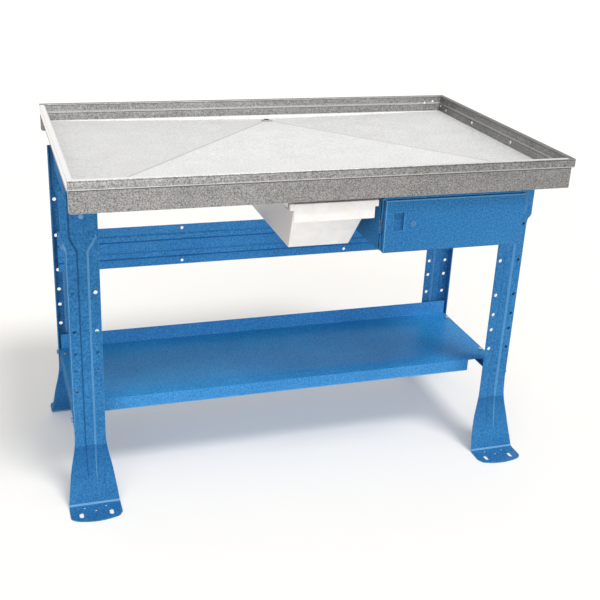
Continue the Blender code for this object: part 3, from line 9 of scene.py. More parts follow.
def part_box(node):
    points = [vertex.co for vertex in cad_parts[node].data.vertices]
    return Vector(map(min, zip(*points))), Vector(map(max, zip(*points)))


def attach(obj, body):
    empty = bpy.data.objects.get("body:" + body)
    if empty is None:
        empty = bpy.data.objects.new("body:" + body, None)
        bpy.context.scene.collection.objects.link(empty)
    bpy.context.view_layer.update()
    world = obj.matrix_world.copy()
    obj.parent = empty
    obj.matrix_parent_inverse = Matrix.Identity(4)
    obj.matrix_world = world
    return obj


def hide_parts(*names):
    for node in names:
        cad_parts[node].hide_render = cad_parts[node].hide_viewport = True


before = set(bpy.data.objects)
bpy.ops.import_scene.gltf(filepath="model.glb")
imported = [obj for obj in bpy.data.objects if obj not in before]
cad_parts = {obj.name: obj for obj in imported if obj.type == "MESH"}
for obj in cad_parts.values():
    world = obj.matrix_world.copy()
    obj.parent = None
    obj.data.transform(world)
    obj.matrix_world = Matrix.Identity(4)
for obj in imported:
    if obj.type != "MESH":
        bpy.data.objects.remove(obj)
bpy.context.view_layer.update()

MM = 0.001

# Camera, from the photograph's perspective
CAMERA_PLACE = (-0.7810, -2.4137, 1.5002)
CAMERA_YAW = 0.3295
CAMERA_PITCH = 0.4025
CAMERA_ROLL = 0.0484
CAMERA_LENS = 59.49
SENSOR_WIDTH = 36.0
CAMERA_NEAR = 0.05
CAMERA_FAR = 60

# Soft lights: name, then azimuth to the right of the front, elevation and spread in degrees, power
SOFTBOXES = (
    ("key_softbox", 27, 60, 18, 1.45),
    ("fill_softbox", -22, 27, 50, 0.65),
    ("low_softbox", -12, 7, 40, 0.6),
)
SOFTBOX_DISTANCE = 4

# White surroundings and floor
WHITE = (1, 1, 1, 1)
AMBIENT = 0.48
FLOOR_TONE = (0.97, 0.945, 0.9, 1)
FLOOR_LIFT = 0.1
FLOOR_REACH = 14

# Places on the painted base that its finish follows, in metres
PLATE_BEND_LOW = 0.0045
PLATE_BEND_HIGH = 0.0085
FOOT_LEVEL = 0.1
DECK_LEVEL = 0.4
FLARE_SHADE = 0.155
FLARE_CLEAR = 0.05
LIP_LOW = 0.2
LIP_HEM = 0.2075
LIP_END = 0.5215
DRAWER_EDGE = 0.8055
DRAWER_TOP = 0.8105
DRAWER_END = 0.51

# Places on the tray that its finishes follow, in metres
RIM_END = 0.6065
RIM_TOP = 0.893
RIM_SHADE_X = 0.5905
RIM_SHADE_Y = 0.3595
SEAM_LOW = 0.8736
SEAM_HIGH = 0.8768
HEM_HIGH = 0.8796
BROW_LOW = 0.8946
BROW_HIGH = 0.8972
LINE_BLUR = 0.8 * MM
DRAIN = (0.027, 0.3275)
FRONT_LEFT_CORNER = (-0.5825, -0.3515)
FRONT_RIGHT_CORNER = (0.5825, -0.3515)
REAR_LEFT_CORNER = (-0.5825, 0.3515)
CREASE = 0.0045
FACET_BLUR = 3 * MM
MARGIN_X = 0.5825
MARGIN_Y = 0.3515

# Edge wear and painted edge highlights: their reach on each finish, and how they are sampled
PAINT_EDGE_WEAR_AND_HIGHLIGHT = 1.6 * MM
RIM_EDGE_WEAR_AND_HIGHLIGHT = 1.2 * MM
PAN_EDGE_HIGHLIGHT = 2.0 * MM
EDGE_SAMPLES = 4
EDGE_CONTRAST = 5


# ---------------------------------------------------------------- shader building
class Value:
    """A socket of a finish; arithmetic on it adds Math nodes."""

    def __init__(self, finish, socket):
        self.finish = finish
        self.socket = socket

    def math(self, operation, *terms, clamp=False):
        node = self.finish.tree.nodes.new("ShaderNodeMath")
        node.operation = operation
        node.use_clamp = clamp
        for place, term in zip(node.inputs, terms):
            self.finish.feed(place, term)
        return Value(self.finish, node.outputs[0])

    def __add__(self, other):
        return self.math("ADD", self, other)

    def __radd__(self, other):
        return self.math("ADD", other, self)

    def __sub__(self, other):
        return self.math("SUBTRACT", self, other)

    def __rsub__(self, other):
        return self.math("SUBTRACT", other, self)

    def __mul__(self, other):
        return self.math("MULTIPLY", self, other)

    def __rmul__(self, other):
        return self.math("MULTIPLY", other, self)

    def __truediv__(self, other):
        return self.math("DIVIDE", self, other)

    def __rtruediv__(self, other):
        return self.math("DIVIDE", other, self)

    def __neg__(self):
        return self.math("MULTIPLY", self, -1)

    def __abs__(self):
        return self.math("ABSOLUTE", self)

    def at_least(self, other):
        return self.math("MAXIMUM", self, other)

    def held(self):
        """The value held between 0 and 1."""
        return self.math("ADD", self, 0, clamp=True)


class Finish:
    """A node material or world; `add` makes any node from its settings and inputs."""

    def __init__(self, owner):
        self.owner = owner
        owner.use_nodes = True
        self.tree = owner.node_tree
        self.tree.nodes.clear()

    def feed(self, place, term):
        if isinstance(term, Value):
            self.tree.links.new(term.socket, place)
        else:
            place.default_value = term

    def add(self, kind, inputs, output=0, **settings):
        node = self.tree.nodes.new("ShaderNode" + kind)
        for name, setting in settings.items():
            setattr(node, name, setting)
        for name, term in inputs.items():
            self.feed(node.inputs[name], term)
        return Value(self, node.outputs[output])

    def blend(self, share, first, second):
        """Colour between two colours or colour sockets."""
        return self.add("Mix", {0: share, 6: first, 7: second}, output=2, data_type="RGBA")

    def place(self, stretch=(1, 1, 1)):
        """Object coordinates, scaled along each axis."""
        spot = self.add("TexCoord", {}, output="Object")
        return self.add("VectorMath", {0: spot, 1: stretch}, operation="MULTIPLY")

    def axes(self, vector):
        """The three numbers of a vector."""
        return [self.add("SeparateXYZ", {"Vector": vector}, output=axis) for axis in range(3)]

    def normal(self):
        return self.add("NewGeometry", {}, output="Normal")

    def facing(self):
        """The surface's own direction, as three numbers."""
        return self.axes(self.normal())

    def noise(self, scale, detail=2.0, roughness=0.5, stretch=(1, 1, 1)):
        """Noise from 0 to 1, centred on about a half."""
        inputs = {"Vector": self.place(stretch), "Scale": scale, "Detail": detail,
                  "Roughness": roughness}
        return self.add("TexNoise", inputs)

    def edge_wear_and_highlight(self, radius):
        """1 on a sharp outer edge and 0 on flat metal."""
        smooth = self.add("Bevel", {"Radius": radius}, samples=EDGE_SAMPLES)
        same = self.add("VectorMath", {0: smooth, 1: self.normal()}, output="Value",
                        operation="DOT_PRODUCT")
        return ((1 - same) * EDGE_CONTRAST).held()

    def bump(self, height, distance, strength):
        return self.add("Bump", {"Strength": strength, "Distance": distance, "Height": height})

    def surface(self, inputs):
        self.show(self.add("BsdfPrincipled", inputs), "OutputMaterial")

    def show(self, shader, output):
        out = self.tree.nodes.new("ShaderNode" + output)
        self.tree.links.new(shader.socket, out.inputs["Surface"])


def colour(red, green, blue):
    """Linear colour from the 0 to 255 values that a screen shows."""
    linear = []
    for part in (red, green, blue):
        share = part / 255
        linear.append(share / 12.92 if share <= 0.04045 else ((share + 0.055) / 1.055) ** 2.4)
    return (*linear, 1)


def new_finish(name):
    return Finish(bpy.data.materials.new(name))


def above(value, level, width):
    """0 below a level and 1 above it, over a short width."""
    return ((value - level) / width + 0.5).held()


def below(value, level, width):
    """1 below a level and 0 above it, over a short width."""
    return 1 - above(value, level, width)


def within(value, low, high, width):
    """1 between two levels and 0 outside them."""
    return above(value, low, width) * below(value, high, width)


# ---------------------------------------------------------------- finishes
def blue_paint(name, dark, light):
    """Powder coat: grainy peel, with a painted highlight on one side of each pressed bend and
    painted shade on the other.
    """
    paint = new_finish(name)
    cloud = paint.noise(5, 3)
    speck = paint.noise(230, 3, 0.6)
    peel = paint.noise(420, 2, 0.5)
    tone = ((cloud - 0.5) * 0.5 + (speck - 0.5) * 2.0 + 0.5).held()
    base = paint.blend(tone, colour(*dark), colour(*light))
    across, _, up = paint.facing()
    x, _, z = paint.axes(paint.place())
    upright = below(abs(up), 0.5, 0.1)

    # Painted light: the shelf's deck lies in the tray's shade and is painted a brighter blue
    deck = above(up, 0.9, 0.1) * within(z, FOOT_LEVEL, DECK_LEVEL, 0.01)
    lit_deck_blue = paint.blend(tone, colour(2, 94, 162), colour(66, 172, 234))
    base = paint.blend(deck * 0.85, base, lit_deck_blue)

    # Slopes of the legs' grooves: painted highlight on the slopes that face left, painted shade on
    # those that face right
    slope = above(abs(across), 0.36, 0.2) * below(abs(across), 0.9, 0.1)
    lit_slope = slope * below(across, 0, 0.1)
    base = paint.blend(lit_slope * 0.5, base, colour(120, 182, 226))
    base = paint.blend(slope * (1 - lit_slope) * 0.45, base, colour(12, 62, 112))

    # Painted shade on the undersides of the stringer's ribs
    rib_shade = above(abs(up), 0.3, 0.2) * below(abs(up), 0.86, 0.1) * below(up, 0, 0.1)
    base = paint.blend(rib_shade * 0.5, base, colour(12, 66, 118))

    # Painted shade on the top of the legs' flare; painted highlights on the hem of the shelf's lip
    # and on the top edge of the drawer front
    flare = below(z, FLARE_SHADE, 2 * MM)
    flare = flare * ((z - FLARE_CLEAR) / (FLARE_SHADE - FLARE_CLEAR)).held()
    base = paint.blend(flare * 0.5, base, colour(14, 72, 128))
    hem = within(z, LIP_LOW, LIP_HEM, MM) * below(abs(x), LIP_END, MM) * upright
    base = paint.blend(hem * (1 - abs(across)) * 0.4, base, colour(140, 196, 236))
    drawer_top_highlight = within(z, DRAWER_EDGE, DRAWER_TOP, MM) * below(abs(x), DRAWER_END, MM) * upright
    base = paint.blend(drawer_top_highlight * 0.45, base, colour(128, 188, 232))

    # Worn edges with a painted highlight, and a painted highlight on the bend above each foot
    # plate
    edge = paint.edge_wear_and_highlight(PAINT_EDGE_WEAR_AND_HIGHLIGHT) * (0.35 + 0.5 * speck)
    base = paint.blend(edge.held(), base, colour(104, 168, 216))
    plate_bend_highlight = within(z, PLATE_BEND_LOW, PLATE_BEND_HIGH, MM) * below(up, 0.95, 0.05)
    base = paint.blend(plate_bend_highlight * 0.45, base, colour(150, 200, 236))

    end = above(abs(across), 0.8, 0.1)
    paint.surface({
        "Base Color": base,
        "Roughness": 0.40 + (speck - 0.5) * 0.16 + end * 0.45,
        "Specular IOR Level": 0.16,
        "Specular Tint": (0.36, 0.62, 0.88, 1),
        "Coat Weight": (0.04 + (cloud - 0.5) * 0.05).held() * (1 - end),
        "Coat Roughness": 0.2,
        "Normal": paint.bump(peel, 0.12 * MM, 0.7),
    })
    return paint.owner


def rim_steel():
    """Stainless rim and apron: fine mill speckle under grinding lines, with a painted highlight on
    top.
    """
    steel = new_finish("rim_stainless")
    speckle = steel.noise(300, 3, 0.7)
    cloud = steel.noise(9, 3)
    lines = steel.noise(1.0, 3, 0.6, (9, 9, 1500))
    tone = ((speckle - 0.5) * 1.9 + (lines - 0.5) * 0.5 + (cloud - 0.5) * 0.3 + 0.5).held()
    base = steel.blend(tone, colour(46, 46, 46), colour(204, 203, 202))
    # Worn edges with a painted highlight
    edge = (steel.edge_wear_and_highlight(RIM_EDGE_WEAR_AND_HIGHLIGHT) * 0.5).held()
    base = steel.blend(edge, base, colour(236, 235, 233))

    # Painted highlight on the rim top, ledge and end hems; painted shade on the rim's far top, and
    # painted shade that deepens towards the right
    across, _, up = steel.facing()
    x, y, z = steel.axes(steel.place())
    flat = above(up, 0.8, 0.2)
    top = flat * above(z, RIM_TOP, 4 * MM)
    far = above(x, RIM_SHADE_X, MM).at_least(above(y, RIM_SHADE_Y, MM))
    end = above(abs(across), 0.8, 0.2) * above(abs(x), RIM_END, 0.5 * MM)
    bright = (flat * 0.85).at_least(top * 0.88).at_least(end * 0.84)
    base = steel.blend(bright * (1 - top * far), base, colour(252, 251, 249))
    base = steel.blend(top * far * 0.45, base, colour(72, 71, 70))
    base = steel.blend((x + RIM_END) * 0.2, base, colour(60, 59, 58))

    # Lines along the band: a painted shadow line, a painted highlight on the hem over it, and
    # painted shade under the top bend
    upright = 1 - flat
    seam_shadow = within(z, SEAM_LOW, SEAM_HIGH, LINE_BLUR)
    base = steel.blend(seam_shadow * upright * 0.72, base, colour(52, 51, 50))
    hem = within(z, SEAM_HIGH, HEM_HIGH, LINE_BLUR)
    base = steel.blend(hem * upright * 0.4, base, colour(232, 231, 229))
    brow_shade = within(z, BROW_LOW, BROW_HIGH, LINE_BLUR)
    base = steel.blend(brow_shade * upright * (1 - bright) * 0.5, base, colour(58, 57, 56))
    steel.surface({
        "Base Color": base,
        "Metallic": 1.0,
        "Roughness": (0.42 + (speckle - 0.5) * 0.2 + (lines - 0.5) * 0.1).held(),
        "Normal": steel.bump(lines + speckle * 0.6, 0.05 * MM, 0.6),
    })
    return steel.owner


def tray_floor_steel():
    """Satin stainless floor: four facets that meet in creases, with painted light and shade on the
    facets, painted shade in the creases and a painted highlight on the pressed margin.
    """
    steel = new_finish("tray_floor_satin_stainless")
    x, y, _ = steel.axes(steel.place())
    away_x, away_y = x - DRAIN[0], y - DRAIN[1]

    def beside(corner):
        """Distance to the left of the crease from the drain to a corner."""
        along = Vector((corner[0] - DRAIN[0], corner[1] - DRAIN[1])).normalized()
        return away_y * along.x - away_x * along.y

    front_left, front_right = beside(FRONT_LEFT_CORNER), beside(FRONT_RIGHT_CORNER)
    front = above(front_left, 0, FACET_BLUR) * above(-front_right, 0, FACET_BLUR)
    left = above(-front_left, 0, FACET_BLUR) * above(beside(REAR_LEFT_CORNER), 0, FACET_BLUR)
    speckle = steel.noise(170, 3, 0.65)
    cloud = steel.noise(14, 3)
    brushed = steel.noise(1.0, 3, 0.6, (14, 900, 14))
    tone = ((speckle - 0.5) * 2.6 + (brushed - 0.5) * 0.5 + (cloud - 0.5) * 0.5 + 0.5).held()
    # Painted light and shade on the facets: the front facet lighter, the side facets darker, the
    # left facet darker still
    side_facet_shade = steel.blend(tone, colour(206, 205, 204), colour(243, 243, 242))
    side_facet_shade = steel.blend(left * 0.25, side_facet_shade, colour(220, 219, 218))
    front_facet_light = steel.blend(tone, colour(218, 217, 216), colour(250, 250, 249))
    base = steel.blend(front, side_facet_shade, front_facet_light)
    # Painted shade along the creases in front of the drain
    crease = (1 - abs(front_left) / CREASE).held().at_least((1 - abs(front_right) / CREASE).held())
    ahead = below(y, DRAIN[1], FACET_BLUR)
    base = steel.blend(crease * ahead * 0.75, base, colour(176, 175, 174))
    # Painted highlight on the pressed margin
    margin = above(abs(x), MARGIN_X, MM).at_least(above(abs(y), MARGIN_Y, MM))
    base = steel.blend(margin * 0.9, base, colour(255, 255, 255))
    steel.surface({
        "Base Color": base,
        "Metallic": 0.2,
        "Specular IOR Level": 0.3,
        "Roughness": (0.55 + (speckle - 0.5) * 0.2).held(),
        "Normal": steel.bump(brushed + speckle * 0.5, 0.04 * MM, 0.5),
    })
    return steel.owner


def pale_steel():
    """Pale coated pan steel: soft cloudy spangle on a near-white ground, with painted shade on the
    sides.
    """
    pan = new_finish("pan_pale_coated_steel")
    spangle = pan.add("TexVoronoi", {"Vector": pan.place(), "Scale": 90}, output="Color")
    cloud = pan.noise(30, 4, 0.6)
    tone = ((cloud - 0.5) * 1.2 + 0.5).held()
    base = pan.blend(tone, colour(233, 230, 227), colour(255, 254, 252))
    base = pan.blend(0.04, base, spangle)
    across, _, _ = pan.facing()
    # Painted shade on the sides that face left and right
    base = pan.blend(above(abs(across), 0.45, 0.2) * 0.6, base, colour(196, 184, 172))
    # Painted highlight along the edges
    edge = (pan.edge_wear_and_highlight(PAN_EDGE_HIGHLIGHT) * 0.9).held()
    base = pan.blend(edge, base, colour(255, 255, 254))
    pan.surface({
        "Base Color": base,
        "Metallic": 0.0,
        "Specular IOR Level": 0.4,
        "Roughness": 0.42 + (cloud - 0.5) * 0.2,
        "Normal": pan.bump(cloud, 0.1 * MM, 0.3),
    })
    return pan.owner


def zinc_plate():
    """Bright zinc plate of bolts and slides."""
    zinc = new_finish("hardware_zinc_plate")
    cloud = zinc.noise(160, 3)
    zinc.surface({
        "Base Color": zinc.blend(cloud, colour(158, 160, 160), colour(214, 214, 209)),
        "Metallic": 1.0,
        "Roughness": (0.3 + (cloud - 0.5) * 0.3).held(),
        "Normal": zinc.bump(cloud, 0.05 * MM, 0.4),
    })
    return zinc.owner


def small_head(name, dark, light, metal):
    """Small turned heads: slightly uneven, painted white as a glint, or painted over."""
    head = new_finish(name)
    cloud = head.noise(300, 3)
    head.surface({
        "Base Color": head.blend(cloud, dark, light),
        "Metallic": metal,
        "Roughness": (0.35 + (cloud - 0.5) * 0.2).held(),
        "Normal": head.bump(cloud, 0.05 * MM, 0.4),
    })
    return head.owner


def strainer_steel():
    """Drain strainer: dark, mottled metal."""
    dark = new_finish("drain_strainer_dark")
    mottle = dark.noise(200, 3)
    dark.surface({
        "Base Color": dark.blend(mottle, colour(14, 14, 14), colour(58, 56, 54)),
        "Metallic": 0.6,
        "Roughness": (0.5 + (mottle - 0.5) * 0.3).held(),
        "Normal": dark.bump(mottle, 0.05 * MM, 0.4),
    })
    return dark.owner


def rubber():
    """Black moulded rubber of the drain gasket."""
    black = new_finish("gasket_black_rubber")
    grain = black.noise(900, 2)
    black.surface({
        "Base Color": black.blend(grain, colour(22, 22, 23), colour(44, 44, 45)),
        "Roughness": 0.62 + (grain - 0.5) * 0.2,
        "Normal": black.bump(grain, 0.05 * MM, 0.6),
    })
    return black.owner


# Finish of each material slot of the CAD part, and of the nodes that differ from their slot
FINISHES = {
    "blue_paint": blue_paint("bench_blue_powder_coat", (20, 84, 142), (66, 138, 192)),
    "stainless": rim_steel(),
    "stainless_bright": tray_floor_steel(),
    "pale_galvanised": pale_steel(),
    "zinc_steel": zinc_plate(),
    "black_rubber": rubber(),
}
# Near-white screw and rivet heads: a painted glint
SCREW_GLINT_WHITE = small_head("screw_head_painted_glint", colour(252, 252, 251), colour(255, 255, 255), 0.1)
LOCK_METAL = small_head("lock_barrel_satin", colour(56, 108, 158), colour(78, 132, 182), 0.3)
BOLT_PAINTED = small_head("bolt_head_painted", colour(70, 132, 186), colour(120, 172, 214), 0.0)
# A brighter copy of the blue for the shelf and stringer, which lie in the tray's shade: painted
# light
SHELF_BLUE_PAINTED_LIGHT = blue_paint("shelf_blue_powder_coat_painted_light", (30, 104, 172), (84, 166, 228))
NODE_FINISHES = {
    "lock_barrel": LOCK_METAL,
    "rear_stringer": SHELF_BLUE_PAINTED_LIGHT,
    "lower_shelf": SHELF_BLUE_PAINTED_LIGHT,
    "drain_strainer": strainer_steel(),
}
for number in (1, 2, 3, 4):
    NODE_FINISHES["tray_screw_%d" % number] = SCREW_GLINT_WHITE
    NODE_FINISHES["top_rail_bolt_%d" % number] = BOLT_PAINTED
    NODE_FINISHES["lower_rail_bolt_%d" % number] = BOLT_PAINTED


# ---------------------------------------------------------------- mesh building
SMOOTH_BELOW = math.radians(32)
SOFTEN_FROM = math.radians(50)


def link(name, data):
    thing = bpy.data.objects.new(name, data)
    bpy.context.scene.collection.objects.link(thing)
    return thing


def mesh_from(name, mesh_data):
    mesh = bpy.data.meshes.new(name)
    mesh_data.to_mesh(mesh)
    mesh_data.free()
    return mesh


def add_piece(name, mesh_data, slot_name, body, finish=None):
    """Make a piece from mesh data: smooth across bends, sharp at edges, with its finish."""
    bmesh.ops.recalc_face_normals(mesh_data, faces=mesh_data.faces)
    for face in mesh_data.faces:
        face.smooth = True
    for line in mesh_data.edges:
        if len(line.link_faces) == 2:
            line.smooth = line.calc_face_angle(0) < SMOOTH_BELOW
    piece = link(name, mesh_from(name, mesh_data))
    piece.data.materials.append(finish or FINISHES[slot_name])
    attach(piece, body)
    return piece


def soften(piece, width, segments=1):
    """A fine rounding of the sharp edges left over."""
    rounding = piece.modifiers.new("edge_rounding", "BEVEL")
    rounding.width = width
    rounding.segments = segments
    rounding.limit_method = "ANGLE"
    rounding.angle_limit = SOFTEN_FROM
    rounding.harden_normals = True


def add_prism(mesh_data, outline, axis, low, high):
    """A prism of a flat outline along one axis, in metres."""
    ends = []
    for level in (low, high):
        points = [{"X": (level, a, b), "Y": (a, level, b), "Z": (a, b, level)}[axis]
                  for a, b in outline]
        ends.append([mesh_data.verts.new(point) for point in points])
        mesh_data.faces.new(ends[-1])
    for index in range(len(outline)):
        following = (index + 1) % len(outline)
        mesh_data.faces.new((ends[0][index], ends[0][following], ends[1][following],
                             ends[1][index]))


def add_plate(mesh_data, outline, axis, face, sheet, outward):
    """A flat plate with its face on one side, in millimetres."""
    low, high = sorted((face, face - outward * sheet))
    scaled = [(a * MM, b * MM) for a, b in outline]
    add_prism(mesh_data, scaled, axis, low * MM, high * MM)


def circle(x, y, radius, count=24):
    return [(x + radius * math.cos(turn * math.tau / count),
             y + radius * math.sin(turn * math.tau / count)) for turn in range(count)]


# ---------------------------------------------------------------- folded sheets
MERGE = 1e-6
FLAT_WITHIN = math.radians(0.6)
FOLD_FROM = math.radians(14)
EDGE_SPARE = 1.12
FOLD_SEGMENTS = 3
INNER_FOLD_LEAST = 0.3
SHEET_ROUNDING = 0.25
STIFFENER_REACH = 595.0

# Node, body, slot, sheet thickness and outer bend radius in millimetres
SHEETS = (
    ("tray_rim", "frame", "stainless", 1.5, 2.2),
    ("tray_floor", "frame", "stainless_bright", 1.5, 1.5),
    ("tray_stiffener_front", "frame", "stainless", 2.0, 3.2),
    ("tray_stiffener_rear", "frame", "stainless", 2.0, 3.2),
    ("rear_stringer", "frame", "blue_paint", 2.0, 3.4),
    ("lower_shelf", "frame", "blue_paint", 1.6, 2.6),
    ("top_rail_left", "frame", "blue_paint", 2.2, 3.4),
    ("top_rail_right", "frame", "blue_paint", 2.2, 3.4),
    ("lower_rail_left", "frame", "blue_paint", 2.2, 3.4),
    ("lower_rail_right", "frame", "blue_paint", 2.2, 3.4),
    ("drip_pan", "pan", "pale_galvanised", 1.5, 2.6),
    ("pan_runner_left", "frame", "zinc_steel", 1.5, 2.2),
    ("pan_runner_right", "frame", "zinc_steel", 1.5, 2.2),
    ("drawer_housing", "frame", "blue_paint", 1.2, 1.9),
    ("drawer_box", "drawer", "blue_paint", 1.2, 1.9),
    ("drawer_front", "drawer", "blue_paint", 1.5, 2.4),
    ("drawer_pull", "drawer", "blue_paint", 1.2, 1.9),
    ("slide_channel_left", "frame", "zinc_steel", 1.4, 2.0),
    ("slide_channel_right", "frame", "zinc_steel", 1.4, 2.0),
)


def packed_mesh(node):
    """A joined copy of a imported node's mesh, with its flat faces whole again."""
    mesh_data = bmesh.new()
    mesh_data.from_mesh(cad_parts[node].data)
    bmesh.ops.remove_doubles(mesh_data, verts=mesh_data.verts, dist=MERGE)
    bmesh.ops.dissolve_limit(mesh_data, angle_limit=FLAT_WITHIN, verts=mesh_data.verts,
                             edges=mesh_data.edges, delimit={"NORMAL"})
    return mesh_data


def is_sheet_edge(face, sheet):
    """True for a face that shows the sheet's thickness."""
    around = sum(line.calc_length() for line in face.edges)
    return 2 * face.calc_area() / around < sheet * EDGE_SPARE


def is_fold(line, sheet, convex):
    """True for a bend line between wide faces, on the outside or the inside of its fold."""
    if len(line.link_faces) != 2 or line.is_convex != convex:
        return False
    if line.calc_face_angle(0) < FOLD_FROM:
        return False
    return not any(is_sheet_edge(face, sheet) for face in line.link_faces)


def round_folds(mesh_data, sheet, convex, radius):
    folds = [line for line in mesh_data.edges if is_fold(line, sheet, convex)]
    if folds:
        bmesh.ops.bevel(mesh_data, geom=folds, offset=radius, offset_type="OFFSET",
                        segments=FOLD_SEGMENTS, profile=0.5, affect="EDGES", clamp_overlap=True)


def trim_ends(mesh_data, reach):
    """Shorten a long profile so that it stops inside the apron's end panels."""
    for corner in mesh_data.verts:
        corner.co.x = max(-reach, min(reach, corner.co.x))


def dress_sheet(node, body, slot_name, sheet, outer):
    """A packed sheet-metal node with its folds bent to a radius."""
    mesh_data = packed_mesh(node)
    if node.startswith("tray_stiffener"):
        trim_ends(mesh_data, STIFFENER_REACH * MM)
    round_folds(mesh_data, sheet * MM, True, outer * MM)
    round_folds(mesh_data, sheet * MM, False, max(outer - sheet, INNER_FOLD_LEAST) * MM)
    piece = add_piece(node + "_formed", mesh_data, slot_name, body, NODE_FINISHES.get(node))
    soften(piece, SHEET_ROUNDING * MM)
    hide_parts(node)


# ---------------------------------------------------------------- apron, in millimetres
APRON_SHEET = 1.5
APRON_LEFT = -608.5
APRON_RIGHT = 603.5
APRON_FACE = 374.0
APRON_END = 597.0
APRON_TOP = 897.2
APRON_BOTTOM = 824.0
APRON_SEAT = 30.0
APRON_CORNER = 7.0
APRON_TIGHT_CORNER = 2.0
CORNER_STEPS = 6
PLATE_GAP = 0.05
PLATE_ROUNDING = 0.3


def apron_outline():
    """Front view of the long apron panels, more rounded at the free lower left corner."""
    outline = [(APRON_RIGHT, APRON_TOP), (APRON_LEFT, APRON_TOP)]
    for side, radius, first in ((APRON_LEFT, APRON_CORNER, math.pi),
                                (APRON_RIGHT, APRON_TIGHT_CORNER, 1.5 * math.pi)):
        centre_x = side - math.copysign(radius, side)
        for step in range(CORNER_STEPS + 1):
            angle = first + step * math.pi / 2 / CORNER_STEPS
            outline.append((centre_x + radius * math.cos(angle),
                            APRON_BOTTOM + radius + radius * math.sin(angle)))
    return outline


def make_apron():
    """Apron: long panels that run past the ends, end panels set back, and the seat below."""
    mesh_data = bmesh.new()
    inner = APRON_FACE - APRON_SHEET - PLATE_GAP
    reach = APRON_END - APRON_SHEET - PLATE_GAP
    row = inner - APRON_SEAT - PLATE_GAP
    ends = [(-inner, APRON_BOTTOM), (inner, APRON_BOTTOM), (inner, APRON_TOP), (-inner, APRON_TOP)]
    for side in (-1, 1):
        add_plate(mesh_data, apron_outline(), "Y", side * APRON_FACE, APRON_SHEET, side)
        add_plate(mesh_data, ends, "X", side * APRON_END, APRON_SHEET, side)
        near, far = side * inner, side * (inner - APRON_SEAT)
        long_seat = [(-reach, near), (reach, near), (reach, far), (-reach, far)]
        near, far = side * reach, side * (reach - APRON_SEAT)
        end_seat = [(near, -row), (far, -row), (far, row), (near, row)]
        for seat in (long_seat, end_seat):
            add_plate(mesh_data, seat, "Z", APRON_BOTTOM, -APRON_SHEET, 1)
    apron = add_piece("tray_apron_panels", mesh_data, "stainless", "frame")
    soften(apron, PLATE_ROUNDING * MM)
    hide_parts("tray_apron")


# ---------------------------------------------------------------- drawer housing, in millimetres
LIP_REACH = 5.6
LIP_SHEET = 1.2
LIP_NOTCH = 3.0
NOTCH_SPARE = 2.0
RAIL_FACE = -350.5
RAIL_LOW = 811.0
RAIL_HIGH = 823.4
RAIL_CLEAR = 0.2
RAIL_ROUNDING = 0.4


def make_housing_lips():
    """In-turned front edges of the drawer housing's sides, notched round the slides."""
    low, high = [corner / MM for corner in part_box("drawer_housing")]
    slide_low, slide_high = [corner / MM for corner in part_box("slide_channel_left")]
    notch_low, notch_high = slide_low.z - NOTCH_SPARE, slide_high.z + NOTCH_SPARE
    top = high.z - LIP_SHEET
    for name, x, inward in (("housing_lip_left", low.x, 1), ("housing_lip_right", high.x, -1)):
        mesh_data = bmesh.new()
        first = x + inward * (LIP_SHEET + PLATE_GAP)
        last = x + inward * LIP_REACH
        notch = x + inward * LIP_NOTCH
        outline = [(first, low.z), (last, low.z), (last, notch_low), (notch, notch_low),
                   (notch, notch_high), (last, notch_high), (last, top), (first, top)]
        add_plate(mesh_data, outline, "Y", low.y, LIP_SHEET, -1)
        lip = add_piece(name, mesh_data, "blue_paint", "frame")
        soften(lip, PLATE_ROUNDING * MM)


def make_housing_rail():
    """Folded rail above the drawer front, flush with it."""
    low, high = [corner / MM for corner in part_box("drawer_housing")]
    mesh_data = bmesh.new()
    front = [(low.x, RAIL_LOW), (high.x, RAIL_LOW), (high.x, RAIL_HIGH), (low.x, RAIL_HIGH)]
    add_plate(mesh_data, front, "Y", RAIL_FACE, LIP_SHEET, -1)
    near, far = RAIL_FACE + LIP_SHEET + PLATE_GAP, low.y - RAIL_CLEAR
    under = [(low.x, near), (high.x, near), (high.x, far), (low.x, far)]
    add_plate(mesh_data, under, "Z", RAIL_LOW, -LIP_SHEET, 1)
    rail = add_piece("housing_front_rail", mesh_data, "blue_paint", "frame")
    soften(rail, RAIL_ROUNDING * MM)


# ---------------------------------------------------------------- corner rivets, in millimetres
REAR_RIVETS = ((543.4, 878.8), (570.0, 882.8))
RIGHT_RIVETS = ((311.8, 865.3), (300.3, 885.0), (350.0, 871.0))
REAR_WALL = 361.5
RIGHT_WALL = 592.5
LEDGE = 4
LEDGE_HEIGHT = 876
RIVET_RADIUS = 3.2
RIVET_HEIGHT = 1.1
RIVET_SIDES = 20
RIVET_PROFILE = ((1.0, -0.2), (1.0, 0.25), (0.8, 0.7), (0.45, 0.95))


def make_rivet(name, spot, outward):
    """A low domed rivet head."""
    mesh_data = bmesh.new()
    turn = Vector(outward).to_track_quat("Z", "Y")
    rings = []
    for radius, height in RIVET_PROFILE:
        ring = []
        for x, y in circle(0, 0, radius * RIVET_RADIUS, RIVET_SIDES):
            place = Vector(spot) + turn @ Vector((x, y, height * RIVET_HEIGHT))
            ring.append(mesh_data.verts.new(place * MM))
        rings.append(ring)
    for ring, following in zip(rings, rings[1:]):
        for index in range(RIVET_SIDES):
            other = (index + 1) % RIVET_SIDES
            mesh_data.faces.new((ring[index], ring[other], following[other], following[index]))
    mesh_data.faces.new(rings[0])
    mesh_data.faces.new(rings[-1])
    add_piece(name, mesh_data, "zinc_steel", "frame", SCREW_GLINT_WHITE)


